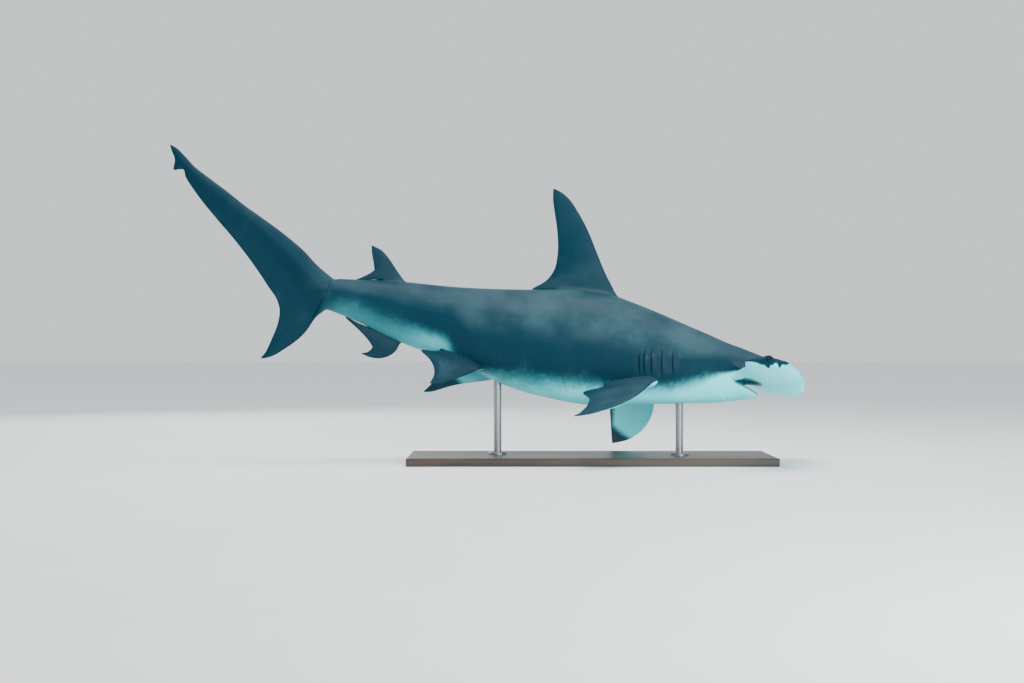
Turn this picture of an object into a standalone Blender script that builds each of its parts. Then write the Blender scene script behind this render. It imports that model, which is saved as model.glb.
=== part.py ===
"""A great hammerhead shark as a life-size still model on a plain display stand.

The shark is described along a straight body line and then bent into its swimming pose. In the
straight description s runs back from the front edge of the head, y to the shark's left and z
towards its back. The finished model stands with +Z up, its nose towards +X, and the origin at the
centre of the underside of the stand's base. All sizes are in metres.
"""
import math

import bmesh
import bpy
import numpy as np
from mathutils import Vector

MODEL_NAME = "hammerhead_shark"
GAP = 0.0003

# Swimming pose: the nose is pitched down, the body bends sideways and rolls a little
NOSE_DOWN = math.radians(10.5)
HEADING = ((0, 16), (0.4, 14.5), (0.8, 11), (1.3, 2), (1.8, -6), (2.46, -12), (3.6, -9))
ROLL = ((0, 11.5), (0.3, 11), (0.6, 7.5), (1.0, 4), (1.7, 3), (2.1, -3), (2.46, -5), (3.6, -5))
ANCHOR_S = 1.0
ANCHOR_POINT = (0.0759, 0.02, 0.5851)

# Body sections: place along the body, back, belly, half width
BODY = (
    (0.3353, 0.110, -0.157, 0.133), (0.40, 0.121, -0.176, 0.143), (0.50, 0.145, -0.199, 0.158),
    (0.60, 0.168, -0.221, 0.173), (0.76, 0.205, -0.253, 0.196), (0.90, 0.234, -0.285, 0.214),
    (1.02, 0.253, -0.308, 0.226), (1.15, 0.250, -0.314, 0.231), (1.26, 0.235, -0.311, 0.229),
    (1.38, 0.212, -0.303, 0.219), (1.52, 0.188, -0.275, 0.202), (1.66, 0.166, -0.232, 0.179),
    (1.82, 0.146, -0.204, 0.152), (1.97, 0.133, -0.181, 0.124), (2.10, 0.121, -0.149, 0.101),
    (2.20, 0.107, -0.121, 0.084), (2.30, 0.090, -0.098, 0.068), (2.40, 0.078, -0.081, 0.055),
    (2.46, 0.078, -0.079, 0.048))
BODY_SIDES = 28

# The trunk is parted into these nodes at these places
TRUNK = (("gill_region", 0.42, 0.90), ("chest", 0.90, 1.25), ("belly", 1.25, 1.66),
         ("rear_body", 1.66, 2.05), ("tail_stalk", 2.05, 2.40))

# Head wing: distance from the middle, leading edge and trailing edge, half thickness
WING = ((0.0, 0.007, 0.335, 0.031), (0.05, 0.007, 0.335, 0.031), (0.10, 0.010, 0.330, 0.031),
        (0.13, 0.014, 0.312, 0.031), (0.155, 0.015, 0.296, 0.031), (0.19, 0.014, 0.282, 0.031),
        (0.23, 0.018, 0.272, 0.030), (0.27, 0.027, 0.266, 0.029), (0.32, 0.039, 0.261, 0.028),
        (0.37, 0.052, 0.257, 0.0265), (0.40, 0.065, 0.256, 0.025), (0.418, 0.078, 0.254, 0.022),
        (0.430, 0.092, 0.248, 0.017), (0.436, 0.108, 0.238, 0.010), (0.438, 0.125, 0.225, 0.004))
WING_SPLIT = 0.155
WING_SLOPE = -0.11
WING_RISE = 0.007
BROW = (0.175, 0.055, 0.013)

# Skull sections: place, top, bottom, half width
SKULL = ((0.035, 0.030, -0.030, 0.045), (0.08, 0.046, -0.042, 0.075), (0.13, 0.062, -0.044, 0.092),
         (0.18, 0.077, -0.044, 0.104), (0.24, 0.091, -0.050, 0.115), (0.29, 0.101, -0.060, 0.125),
         (0.3349, 0.1095, -0.0705, 0.1325), (0.3353, 0.110, -0.157, 0.133),
         (0.38, 0.117, -0.171, 0.140), (0.42 - GAP / 2, 0.1255, -0.1805, 0.146))

# Lower jaw sections: place, upper rim, underside, half width
JAW = ((0.214, -0.100, -0.107, 0.012), (0.222, -0.0985, -0.116, 0.038),
       (0.235, -0.095, -0.123, 0.058), (0.255, -0.0905, -0.130, 0.077),
       (0.28, -0.0845, -0.137, 0.093), (0.31, -0.0775, -0.147, 0.108),
       (0.3347, -0.0715, -0.1545, 0.118))
UPPER_LIP = ((0.197, -0.0415), (0.24, -0.0475), (0.285, -0.0515), (0.305, -0.0580), (0.322, -0.0685))
MOUTH_FRONT = 0.200
MOUTH_CORNER = 0.322
MOUTH_HALF_WIDTH = 0.100
LIP_RADIUS = 0.005
UPPER_TEETH = 14
LOWER_TEETH = 14

EYE_PLACE = (0.145, 0.4225, 0.003)
EYE_RADIUS = 0.018
NOSTRIL_PLACE = (0.060, 0.398, 0.000)
NOSTRIL_SIZE = (0.012, 0.028, 0.004)

# Gill slits: place of the lower end, height of the lower and the upper end
GILLS = ((0.618, -0.094, 0.010), (0.667, -0.125, 0.009), (0.717, -0.128, 0.001), (0.754, -0.125, -0.014),
         (0.780, -0.123, -0.032))
GILL_LEAN = 0.027
GILL_WIDTH = 0.0035
GILL_DEPTH = 0.014

# Paired fins: root place (s, y, z), droop, sweep, tilt of the rear edge down, upward bend, size
PECTORAL_RIGHT = ((0.714, 0.185, -0.160), 37, 3.5, 11.5, 0.56, 1.14)
PECTORAL_LEFT = ((0.721, 0.185, -0.222), 42, -12.5, -13, -0.06, 1.14)
PELVIC_RIGHT = ((1.612, 0.100, -0.248), 80, 29, -16, -0.39, 1.27)
PELVIC_LEFT = ((1.612, 0.100, -0.300), 75, 60, -15, -2.2, 1.33)

# Outlines of the paired fins: front edge from the root to the tip, rear edge back to the root
PECTORAL_FRONT = ((-0.03, -0.11), (0.0, 0.0), (0.045, 0.13), (0.12, 0.26), (0.205, 0.36), (0.262, 0.408))
PECTORAL_REAR = ((0.16, -0.11), (0.20, 0.0), (0.29, 0.05), (0.25, 0.11), (0.243, 0.16), (0.25, 0.25),
                 (0.262, 0.35), (0.268, 0.406))
PELVIC_FRONT = ((-0.03, -0.07), (0.0, 0.0), (0.05, 0.065), (0.095, 0.11), (0.13, 0.125))
PELVIC_REAR = ((0.14, -0.07), (0.185, 0.0), (0.25, 0.03), (0.195, 0.047), (0.158, 0.068), (0.138, 0.095),
               (0.134, 0.123))

# Outlines of the fins on the middle line, as (s, z)
DORSAL_FRONT = ((0.965, 0.17), (0.992, 0.25), (1.069, 0.360), (1.125, 0.448), (1.192, 0.554),
                (1.256, 0.636), (1.314, 0.695), (1.368, 0.724), (1.392, 0.730))
DORSAL_REAR = ((1.25, 0.15), (1.275, 0.215), (1.41, 0.208), (1.344, 0.271), (1.318, 0.33),
               (1.316, 0.394), (1.344, 0.536), (1.369, 0.611), (1.389, 0.676), (1.397, 0.728))
SECOND_FRONT = ((2.02, 0.09), (2.047, 0.130), (2.093, 0.176), (2.141, 0.225), (2.186, 0.259),
                (2.234, 0.273))
SECOND_REAR = ((2.13, 0.06), (2.145, 0.098), (2.326, 0.066), (2.236, 0.114), (2.203, 0.145),
               (2.211, 0.182), (2.231, 0.237), (2.239, 0.271))
ANAL_FRONT = ((2.00, -0.12), (2.009, -0.175), (2.026, -0.225), (2.052, -0.251), (2.087, -0.269),
              (2.125, -0.275), (2.164, -0.271), (2.188, -0.264))
ANAL_REAR = ((2.12, -0.08), (2.141, -0.115), (2.300, -0.100), (2.192, -0.163), (2.150, -0.186),
             (2.137, -0.203), (2.142, -0.227), (2.160, -0.250), (2.193, -0.262))
TAIL_FRONT = ((2.4003, 0.078), (2.477, 0.121), (2.566, 0.185), (2.673, 0.245), (2.777, 0.295),
              (2.879, 0.341), (2.982, 0.395), (3.084, 0.445), (3.155, 0.482), (3.208, 0.522),
              (3.259, 0.554), (3.281, 0.560))
TAIL_REAR = ((2.4003, -0.081), (2.52, -0.095), (2.625, -0.128), (2.643, -0.084), (2.696, -0.027),
             (2.79, 0.069), (2.903, 0.171), (3.024, 0.269), (3.112, 0.346), (3.186, 0.424),
             (3.203, 0.455), (3.223, 0.451), (3.247, 0.444), (3.249, 0.495), (3.269, 0.529),
             (3.284, 0.558))
TAIL_REAR_AT = (0.0, 0.06, 0.115, 0.16, 0.215, 0.33, 0.46, 0.60, 0.71, 0.81, 0.86, 0.885, 0.915, 0.95,
                0.98, 1.0)
LOWER_FRONT = ((2.43, -0.01), (2.391, -0.082), (2.447, -0.138), (2.473, -0.200), (2.510, -0.256),
               (2.566, -0.314), (2.615, -0.357), (2.664, -0.378))
LOWER_REAR = ((2.63, -0.06), (2.621, -0.15), (2.619, -0.185), (2.632, -0.264), (2.654, -0.345),
              (2.670, -0.379))

# Stand
BASE_SIZE = (1.80, 0.56, 0.040)
ROD_RADIUS = 0.019
ROD_FLANGE = (0.045, 0.012)
ROD_PLACES = (("stand_rod_front", 0.44, -0.05), ("stand_rod_rear", -0.46, 0.03))

COLORS = {"back_grey": (0.055, 0.085, 0.095), "fin_grey": (0.030, 0.055, 0.065),
          "head_grey": (0.060, 0.090, 0.100), "jaw_white": (0.45, 0.52, 0.53),
          "eye_dark": (0.010, 0.012, 0.014), "stand_black": (0.030, 0.030, 0.032),
          "rod_steel": (0.45, 0.45, 0.46)}


def smooth(x, stations, values):
    """Cubic curve through the stations, held flat beyond both ends."""
    xs = np.asarray(stations, float)
    ys = np.asarray(values, float)
    step = np.diff(xs)
    slope = np.diff(ys) / step
    tangent = np.empty_like(ys)
    tangent[0] = slope[0]
    tangent[-1] = slope[-1]
    tangent[1:-1] = (slope[:-1] * step[1:] + slope[1:] * step[:-1]) / (step[:-1] + step[1:])
    x = np.clip(x, xs[0], xs[-1])
    i = np.clip(np.searchsorted(xs, x, side="right") - 1, 0, len(xs) - 2)
    t = (x - xs[i]) / step[i]
    return (ys[i] * (1 + 2 * t) * (1 - t) ** 2 + ys[i + 1] * t * t * (3 - 2 * t)
            + step[i] * (tangent[i] * t * (1 - t) ** 2 - tangent[i + 1] * t * t * (1 - t)))


def spine_tables():
    """Integrate the heading into a line of points with a left and an up direction at each."""
    s = np.linspace(-0.2, 3.8, 801)
    yaw = np.radians(smooth(s, *zip(*HEADING)))
    roll = np.radians(smooth(s, *zip(*ROLL)))[:, None]
    ahead = np.stack([np.cos(yaw) * math.cos(NOSE_DOWN), -np.sin(yaw) * math.cos(NOSE_DOWN),
                      np.full_like(yaw, -math.sin(NOSE_DOWN))], 1)
    line = np.zeros((len(s), 3))
    line[1:] = -np.cumsum((ahead[1:] + ahead[:-1]) / 2 * (s[1] - s[0]), 0)
    at_anchor = np.array([np.interp(ANCHOR_S, s, line[:, k]) for k in range(3)])
    line += np.array(ANCHOR_POINT) - at_anchor
    world_up = np.array([0.0, 0.0, 1.0])
    up = world_up - (ahead @ world_up)[:, None] * ahead
    up /= np.linalg.norm(up, axis=1)[:, None]
    left = np.cross(up, ahead)
    return s, line, left * np.cos(roll) - up * np.sin(roll), up * np.cos(roll) + left * np.sin(roll)


SPINE = spine_tables()


def pose(points):
    """Carry points of the straight description into the swimming pose."""
    p = np.asarray(points, float)
    s, line, left, up = SPINE
    at = [np.stack([np.interp(p[..., 0], s, table[:, k]) for k in range(3)], -1)
          for table in (line, left, up)]
    return at[0] + p[..., 1:2] * at[1] + p[..., 2:3] * at[2]


def empty_scene():
    for item in list(bpy.data.objects):
        bpy.data.objects.remove(item, do_unlink=True)


def make_collection(name):
    made = bpy.data.collections.new(name)
    bpy.context.scene.collection.children.link(made)
    return made


def make_material(name):
    made = bpy.data.materials.new(name)
    made.use_nodes = True
    shader = made.node_tree.nodes["Principled BSDF"]
    shader.inputs["Base Color"].default_value = (*COLORS[name], 1.0)
    shader.inputs["Roughness"].default_value = {"eye_dark": 0.12, "rod_steel": 0.3}.get(name, 0.45)
    shader.inputs["Metallic"].default_value = 1.0 if name == "rod_steel" else 0.0
    return made


def add_object(name, mesh, collection, material=None):
    made = bpy.data.objects.new(name, mesh)
    collection.objects.link(made)
    if material:
        mesh.materials.clear()
        mesh.materials.append(MATERIALS[material])
    return made


def turn_outwards(work):
    """Point all the faces of a closed mesh outwards."""
    bmesh.ops.recalc_face_normals(work, faces=work.faces)
    if work.calc_volume(signed=True) < 0:
        bmesh.ops.reverse_faces(work, faces=work.faces)


def close_mesh(name, vertices, faces):
    """Build a mesh, weld its coincident points and turn its faces outwards."""
    mesh = bpy.data.meshes.new(name)
    mesh.from_pydata([tuple(v) for v in vertices], [], faces)
    work = bmesh.new()
    work.from_mesh(mesh)
    bmesh.ops.remove_doubles(work, verts=work.verts, dist=1e-6)
    bmesh.ops.dissolve_degenerate(work, edges=work.edges, dist=1e-7)
    wide = [face for face in work.faces if len(face.verts) > 4]
    bmesh.ops.triangulate(work, faces=wide, ngon_method="EAR_CLIP")
    turn_outwards(work)
    work.to_mesh(mesh)
    work.free()
    return mesh


def loft(name, rings, fan=True):
    """Join rings of equal length into a skin of triangles and close both ends."""
    rings = np.asarray(rings, float)
    count, sides = rings.shape[:2]
    points = np.concatenate([rings.reshape(-1, 3), rings[:1].mean(1), rings[-1:].mean(1)])
    faces = []
    for i in range(count - 1):
        for j in range(sides):
            a = i * sides + j
            b = i * sides + (j + 1) % sides
            faces += [(a, b, b + sides), (a, b + sides, a + sides)]
    first = count * sides
    if not fan:
        faces += [tuple(range(sides)), tuple(range(first - 1, first - sides - 1, -1))]
        return close_mesh(name, pose(points[:first]), faces)
    for j in range(sides):
        k = (j + 1) % sides
        faces += [(first, k, j), (first + 1, first - sides + j, first - sides + k)]
    return close_mesh(name, pose(points), faces)


def oval(s, top, bottom, half, grow=0.0, upper=1.9, lower=2.25, sides=BODY_SIDES):
    """Cross-section with its widest part a little below mid-height."""
    turn = np.arange(sides) / sides * 2 * math.pi
    c = np.cos(turn)
    n = np.sin(turn)
    middle = top - 0.53 * (top - bottom)
    power = np.where(n >= 0, upper, lower)
    y = (half + grow) * np.sign(c) * np.abs(c) ** (2 / power)
    reach = np.where(n >= 0, top - middle, middle - bottom) + grow
    z = middle + reach * np.sign(n) * np.abs(n) ** (2 / power)
    return np.stack([np.full(sides, s), y, z], 1)


def body_at(s, grow=0.0):
    table = np.array(BODY)
    top, bottom, half = (float(smooth(s, table[:, 0], table[:, k])) for k in (1, 2, 3))
    return oval(s, top, bottom, half, grow)


def body_rings(start, end, spacing=0.055, grow=0.0):
    count = max(2, int(round((end - start) / spacing)) + 1)
    return [body_at(s, grow) for s in np.linspace(start, end, count)]


def trunk_rings(nodes, grow=0.0):
    """Sections of the named trunk nodes, which stand a gap apart."""
    rings = []
    for name, start, end in TRUNK:
        if name in nodes:
            rings += body_rings(start + GAP / 2, end - GAP / 2, grow=grow)
    return rings


def body_side(s, z):
    """Half width of the body at a height."""
    ring = body_at(s)
    right = ring[np.abs(ring[:, 2] - z).argsort()[:2]]
    return float(np.abs(right[:, 1]).mean())


def largest_surface(mesh):
    """Keep only the largest closed surface of a mesh."""
    work = bmesh.new()
    work.from_mesh(mesh)
    bmesh.ops.remove_doubles(work, verts=work.verts, dist=2e-6)
    bmesh.ops.dissolve_degenerate(work, edges=work.edges, dist=1e-6)
    bmesh.ops.triangulate(work, faces=work.faces)
    seen = set()
    groups = []
    for face in work.faces:
        if face in seen:
            continue
        group = [face]
        seen.add(face)
        for member in group:
            for edge in member.edges:
                for other in edge.link_faces:
                    if other not in seen:
                        seen.add(other)
                        group.append(other)
        groups.append(group)
    groups.sort(key=lambda g: sum(f.calc_area() for f in g), reverse=True)
    for group in groups[1:]:
        bmesh.ops.delete(work, geom=group, context="FACES")
    loose = [v for v in work.verts if not v.link_faces]
    bmesh.ops.delete(work, geom=loose, context="VERTS")
    work.to_mesh(mesh)
    work.free()


def combine(target, others, operation):
    """Cut or join a whole collection of closed meshes and keep the largest closed surface."""
    modifier = target.modifiers.new("combine", "BOOLEAN")
    modifier.operation = operation
    modifier.solver = "EXACT"
    if isinstance(others, bpy.types.Collection):
        modifier.operand_type = "COLLECTION"
        modifier.collection = others
    else:
        modifier.object = others
    bpy.context.view_layer.update()
    graph = bpy.context.evaluated_depsgraph_get()
    made = bpy.data.meshes.new_from_object(target.evaluated_get(graph))
    made.materials.clear()
    made.materials.append(target.data.materials[0])
    target.modifiers.clear()
    target.data = made
    largest_surface(made)
    for face in made.polygons:
        face.material_index = 0


def gather(name, meshes):
    """Put loose meshes in a collection of their own, to be joined or cut in one go."""
    made = make_collection(name)
    for i, mesh in enumerate(meshes):
        add_object(f"{name}_{i}", mesh, made)
    return made


def discard(collection):
    for item in list(collection.objects):
        bpy.data.objects.remove(item, do_unlink=True)
    bpy.data.collections.remove(collection)


def foil(x):
    """Streamlined half thickness along a chord, 1 at its thickest, closed at both ends."""
    x = np.clip(x, 0.0, 1.0)
    y = 1.4845 * np.sqrt(x) - 0.63 * x - 1.758 * x ** 2 + 1.4215 * x ** 3 - 0.518 * x ** 4
    return 2.0 * np.clip(y, 0.0, None)


def resample(points, fractions, at=None):
    """Smooth curve through points, read at fractions of its length or of the given marks."""
    points = np.array(points, float)
    if at is None:
        at = np.concatenate([[0], np.cumsum(np.linalg.norm(np.diff(points, axis=0), axis=1))])
        at = at / at[-1]
    return np.stack([smooth(fractions, at, points[:, k]) for k in range(2)], 1)


def fin(name, front, rear, thickness, to_body, rows=12, columns=10, rear_at=None, root_oval=0.0):
    """Blade ruled between a front and a rear edge, with the same triangles on both faces."""
    u = np.linspace(0.0, 1.0, rows + 1)
    v = (1 - np.cos(np.linspace(0.0, 1.0, columns + 1) * math.pi)) / 2
    edge_a = resample(front, u)
    edge_b = resample(rear, u, rear_at)
    grid = edge_a[:, None] * (1 - v[None, :, None]) + edge_b[:, None] * v[None, :, None]
    chord = np.linalg.norm(edge_b - edge_a, axis=1)[:, None]
    section = foil(v)[None, :] * np.ones_like(chord)
    if root_oval:
        mix = np.clip(1 - u / root_oval, 0, 1)[:, None] ** 1.5
        section = section * (1 - mix) + np.sqrt(np.clip(1 - (2 * v - 1) ** 2, 0, 1))[None, :] * mix
    half = thickness(u)[:, None] * section
    rim = 0.0012
    half = np.maximum(half, rim * np.sin(np.pi * np.clip(v, 0.02, 0.98))[None, :] ** 0.2)
    half[:, 0] = rim * 0.6
    half[:, -1] = rim * 0.6
    upper = to_body(grid, half)
    lower = to_body(grid, -half)
    points = np.concatenate([upper.reshape(-1, 3), lower.reshape(-1, 3)])
    wide = columns + 1
    other = wide * (rows + 1)
    faces = []
    for i in range(rows):
        for j in range(columns):
            a = i * wide + j
            split = ((a, a + 1, a + wide + 1), (a, a + wide + 1, a + wide))
            faces += list(split) + [tuple(k + other for k in reversed(t)) for t in split]
    border = ([i for i in range(columns)]
              + [i * wide + columns for i in range(rows)]
              + [rows * wide + columns - j for j in range(columns)]
              + [(rows - i) * wide for i in range(rows)])
    for a, b in zip(border, border[1:] + border[:1]):
        faces += [(a, a + other, b + other), (a, b + other, b)]
    return close_mesh(name, pose(points), faces)


def upright(grid, half):
    """Blade standing on the middle line."""
    return np.stack([grid[..., 0], half, grid[..., 1]], -1)


def side_blade(root, droop, sweep, tilt, bend, size, side):
    """Blade reaching out and down from one flank, curving down a little towards its tip."""
    droop, sweep, tilt = (math.radians(x) for x in (droop, sweep, tilt))

    def to_body(grid, half):
        a = grid[..., 0] * size
        b = grid[..., 1] * size
        back = a * math.cos(sweep) + b * math.sin(sweep)
        out = b * math.cos(sweep)
        rise = bend * np.clip(b, 0, None) ** 2
        y = root[1] + out * math.cos(droop) - half * math.sin(droop)
        z = root[2] - out * math.sin(droop) - a * math.sin(tilt) - half * math.cos(droop) + rise
        return np.stack([root[0] + back, side * y, z], -1)

    return to_body


def taper(root, tip, power=1.0):
    return lambda u: tip + (root - tip) * (1 - u) ** power


def brow_strength(y):
    """Swelling over the eye, only near the ends of the wing."""
    return float(smooth(y, (0.30, 0.36, 0.40, 0.425, 0.438), (0.0, 0.35, 0.95, 1.0, 0.1)))


def wing_mesh(name, start, end, stations=None):
    """Span of the head wing between two distances from the middle line."""
    table = np.array(WING)
    inner = [y for y in table[:, 0] if min(abs(start), abs(end)) + 0.01 < y]
    if stations is None:
        stations = [start] + [y for y in inner if y < abs(end)] + [end]
    rings = []
    x = (1 - np.cos(np.linspace(0, math.pi, 13))) / 2
    for y in stations:
        lead, trail, half = (float(smooth(abs(y), table[:, 0], table[:, k])) for k in (1, 2, 3))
        chord = trail - lead
        s = lead + x * chord
        middle = WING_SLOPE * (s - 0.05) - 0.004 + WING_RISE * (y / table[-1, 0]) ** 2
        thick = half * (0.9 * foil(x) + 0.1 * np.sqrt(np.clip(1 - (2 * x - 1) ** 2, 0, 1)))
        brow = BROW[2] * np.exp(-((s - BROW[0]) / BROW[1]) ** 2) * brow_strength(abs(y))
        upper = np.stack([s, np.full_like(s, y), middle + thick + brow * np.sqrt(thick / half)], 1)
        lower = np.stack([s, np.full_like(s, y), middle - thick], 1)
        rings.append(np.concatenate([upper, lower[-2:0:-1]]))
    return loft(name, rings)


def mouth_half_width(s):
    """Half width of the arch of the upper jaw."""
    t = np.clip((s - MOUTH_FRONT) / (MOUTH_CORNER - MOUTH_FRONT), 0, 1)
    return MOUTH_HALF_WIDTH * t ** 0.45


def jaw_line(s):
    """Height of the upper lip."""
    return smooth(s, *zip(*UPPER_LIP))


def arch_path(count, half, front, corner, height):
    """Points along a lip from its right corner round the front to its left corner."""
    y = np.linspace(-half, half, 241)
    s = front + (corner - front) * (np.abs(y) / half) ** 2.3
    line = np.stack([s, y, height(s)], 1)
    run = np.concatenate([[0], np.cumsum(np.linalg.norm(np.diff(line, axis=0), axis=1))])
    at = np.linspace(0, run[-1], count)
    return np.stack([np.interp(at, run, line[:, k]) for k in range(3)], 1)


def jaw_rim(s):
    """Height of the lower jaw's rim."""
    table = np.array(JAW)
    return smooth(s, table[:, 0], table[:, 1])


def tube_mesh(name, path, radius, sides=6):
    """Round tube along a path, in the straight description."""
    path = np.asarray(path)
    ahead = np.gradient(path, axis=0)
    ahead /= np.linalg.norm(ahead, axis=1)[:, None]
    side = np.cross(ahead, (0, 0, 1.0))
    side /= np.linalg.norm(side, axis=1)[:, None]
    up = np.cross(side, ahead)
    turn = np.arange(sides) / sides * 2 * math.pi
    ends = np.ones(len(path))
    ends[[0, -1]] = 0.5
    rings = [p + radius * k * (np.cos(turn)[:, None] * a + np.sin(turn)[:, None] * b)
             for p, a, b, k in zip(path, side, up, ends)]
    return loft(name, rings)


def tooth_meshes(name, path, count, height, width, direction):
    """Small pointed teeth spread along a lip, with their roots sunk in it."""
    at = np.linspace(0.07, 0.93, count) * (len(path) - 1)
    k = np.arange(len(path))
    made = []
    for i, t in enumerate(at):
        here = np.array([np.interp(t, k, path[:, c]) for c in range(3)])
        near = np.array([np.interp(t + 0.05, k, path[:, c]) for c in range(3)]) - here
        along = near / np.linalg.norm(near)
        across = np.cross(along, (0, 0, 1.0))
        across /= np.linalg.norm(across)
        root = here - np.array([0, 0, direction * 0.006])
        tip = here + np.array([0.004, 0, direction * height])
        ring = [root + along * width * a + across * width * 0.6 * b
                for a, b in ((0.5, 0), (0, 0.5), (-0.5, 0), (0, -0.5))]
        narrow = [tip + (p - root) * 0.12 for p in ring]
        made.append(loft(f"{name}_{i}", [ring, narrow]))
    return made


def gill_cutter(name, place, low, high, side):
    """Thin slanting blade that opens a slit under a flap of skin."""
    rings = []
    for t in np.linspace(0, 1, 6):
        z = low + t * (high - low)
        s = place + GILL_LEAN * t
        y = body_side(s, z)
        width = GILL_WIDTH * (0.35 + 0.65 * math.sin(math.pi * (0.1 + 0.8 * t)))
        depth = GILL_DEPTH * (0.5 + 0.5 * math.sin(math.pi * (0.1 + 0.8 * t)))
        rings.append([(s + 0.006, side * (y + 0.010), z), (s + 0.006 + width, side * (y + 0.010), z),
                      (s - depth + width * 0.6, side * (y - depth), z),
                      (s - depth - width * 0.4, side * (y - depth), z)])
    return loft(name, rings)


def ball(name, centre, radii, segments=16, rings=10):
    """Ellipsoid from a sphere, carried into the pose about its own centre."""
    work = bmesh.new()
    bmesh.ops.create_uvsphere(work, u_segments=segments, v_segments=rings, radius=1.0)
    for vertex in work.verts:
        p = np.array(centre) + np.array(vertex.co) * np.array(radii)
        vertex.co = Vector(pose(p))
    turn_outwards(work)
    mesh = bpy.data.meshes.new(name)
    work.to_mesh(mesh)
    work.free()
    return mesh


def lid_mesh(name, side):
    """Ring of skin around the eye, from a torus primitive."""
    bpy.ops.mesh.primitive_torus_add(major_radius=EYE_RADIUS * 0.93, minor_radius=0.0052,
                                     major_segments=16, minor_segments=6)
    made = bpy.context.object
    mesh = made.data
    centre = np.array(EYE_PLACE) * (1, side, 1) + np.array((0, side * 0.0065, 0))
    for vertex in mesh.vertices:
        c = vertex.co
        vertex.co = Vector(pose(centre + np.array((c.x, c.z * 0.9, c.y))))
    bpy.data.objects.remove(made)
    work = bmesh.new()
    work.from_mesh(mesh)
    turn_outwards(work)
    work.to_mesh(mesh)
    work.free()
    mesh.name = name
    return mesh


def build_trunk():
    for name, _, _ in TRUNK:
        made = add_object(name, loft(name, trunk_rings([name])), PARTS, "back_grey")
        if name == "gill_region":
            slits = gather("gill_cutters", [gill_cutter(f"slit_{i}_{side}", *row, side)
                                            for side in (-1, 1) for i, row in enumerate(GILLS)])
            combine(made, slits, "DIFFERENCE")
            discard(slits)


def build_head():
    head = add_object("head", loft("head", [oval(*row) for row in SKULL]), PARTS, "head_grey")
    span = np.linspace(-WING_SPLIT + GAP / 2, WING_SPLIT - GAP / 2, 9)
    palate_path = arch_path(21, MOUTH_HALF_WIDTH, MOUTH_FRONT, MOUTH_CORNER, jaw_line)
    extras = [wing_mesh("centre", 0, 0, span), tube_mesh("lip", palate_path, LIP_RADIUS)]
    joined = gather("head_extras", extras)
    combine(head, joined, "UNION")
    discard(joined)
    rows = []
    for s in np.linspace(MOUTH_FRONT + 0.006, MOUTH_CORNER + 0.006, 8):
        half = max(0.008, float(mouth_half_width(s - 0.004)) - 0.008)
        rise = 0.030 * math.sin(math.pi * min(1, (s - MOUTH_FRONT) / 0.16)) + 0.004
        rows.append(oval(s, jaw_line(s) + rise, jaw_line(s) - 0.03, half, sides=20))
    cavity = gather("mouth_cavity", [loft("cavity", rows)])
    combine(head, cavity, "DIFFERENCE")
    discard(cavity)
    teeth = gather("upper_teeth", tooth_meshes("tooth", palate_path, UPPER_TEETH, 0.012, 0.009, -1))
    combine(head, teeth, "UNION")
    discard(teeth)
    return head


def build_lower_jaw():
    rings = []
    turn = np.linspace(0, math.pi, 17)
    for s, rim, bottom, half in JAW:
        wall = min(0.017, half * 0.6)
        floor = min(0.020, half * 0.35)
        outer = np.stack([half * np.sign(np.cos(turn)) * np.abs(np.cos(turn)) ** 0.85,
                          rim - (rim - bottom) * np.sin(turn) ** 0.85], 1)
        inner = np.stack([-(half - wall) * np.cos(turn[::2]), rim - floor * np.sin(turn[::2]) ** 0.6], 1)
        inner[0, 1] += 0.003
        inner[-1, 1] += 0.003
        section = np.concatenate([outer, inner])
        rings.append(np.insert(section, 0, s, axis=1))
    jaw = add_object("lower_jaw", loft("lower_jaw", rings, fan=False), PARTS, "jaw_white")
    path = arch_path(80, 0.100, JAW[0][0] + 0.007, JAW[-1][0] - 0.012, lambda s: jaw_rim(s))
    extras = gather("jaw_extras", tooth_meshes("tooth", path, LOWER_TEETH, 0.011, 0.009, 1))
    combine(jaw, extras, "UNION")
    discard(extras)


def build_hammer():
    for side, name in ((1, "left"), (-1, "right")):
        stations = [side * (WING_SPLIT + GAP / 2)] + [side * row[0] for row in WING if row[0] > WING_SPLIT]
        wing = add_object(f"hammer_{name}", wing_mesh("wing", 0, 0, stations), PARTS, "head_grey")
        lid = gather("lid", [lid_mesh("lid_ring", side)])
        combine(wing, lid, "UNION")
        discard(lid)
        centre = np.array(EYE_PLACE) * (1, side, 1)
        nostril = np.array(NOSTRIL_PLACE) * (1, side, 1)
        cuts = [ball("socket", centre, [EYE_RADIUS + GAP] * 3, 16, 10),
                ball("nostril", nostril, NOSTRIL_SIZE, 12, 8)]
        holes = gather("wing_cutters", cuts)
        combine(wing, holes, "DIFFERENCE")
        discard(holes)
        add_object(f"eye_{name}", ball("eye", centre, [EYE_RADIUS] * 3, 16, 10), PARTS, "eye_dark")


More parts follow.
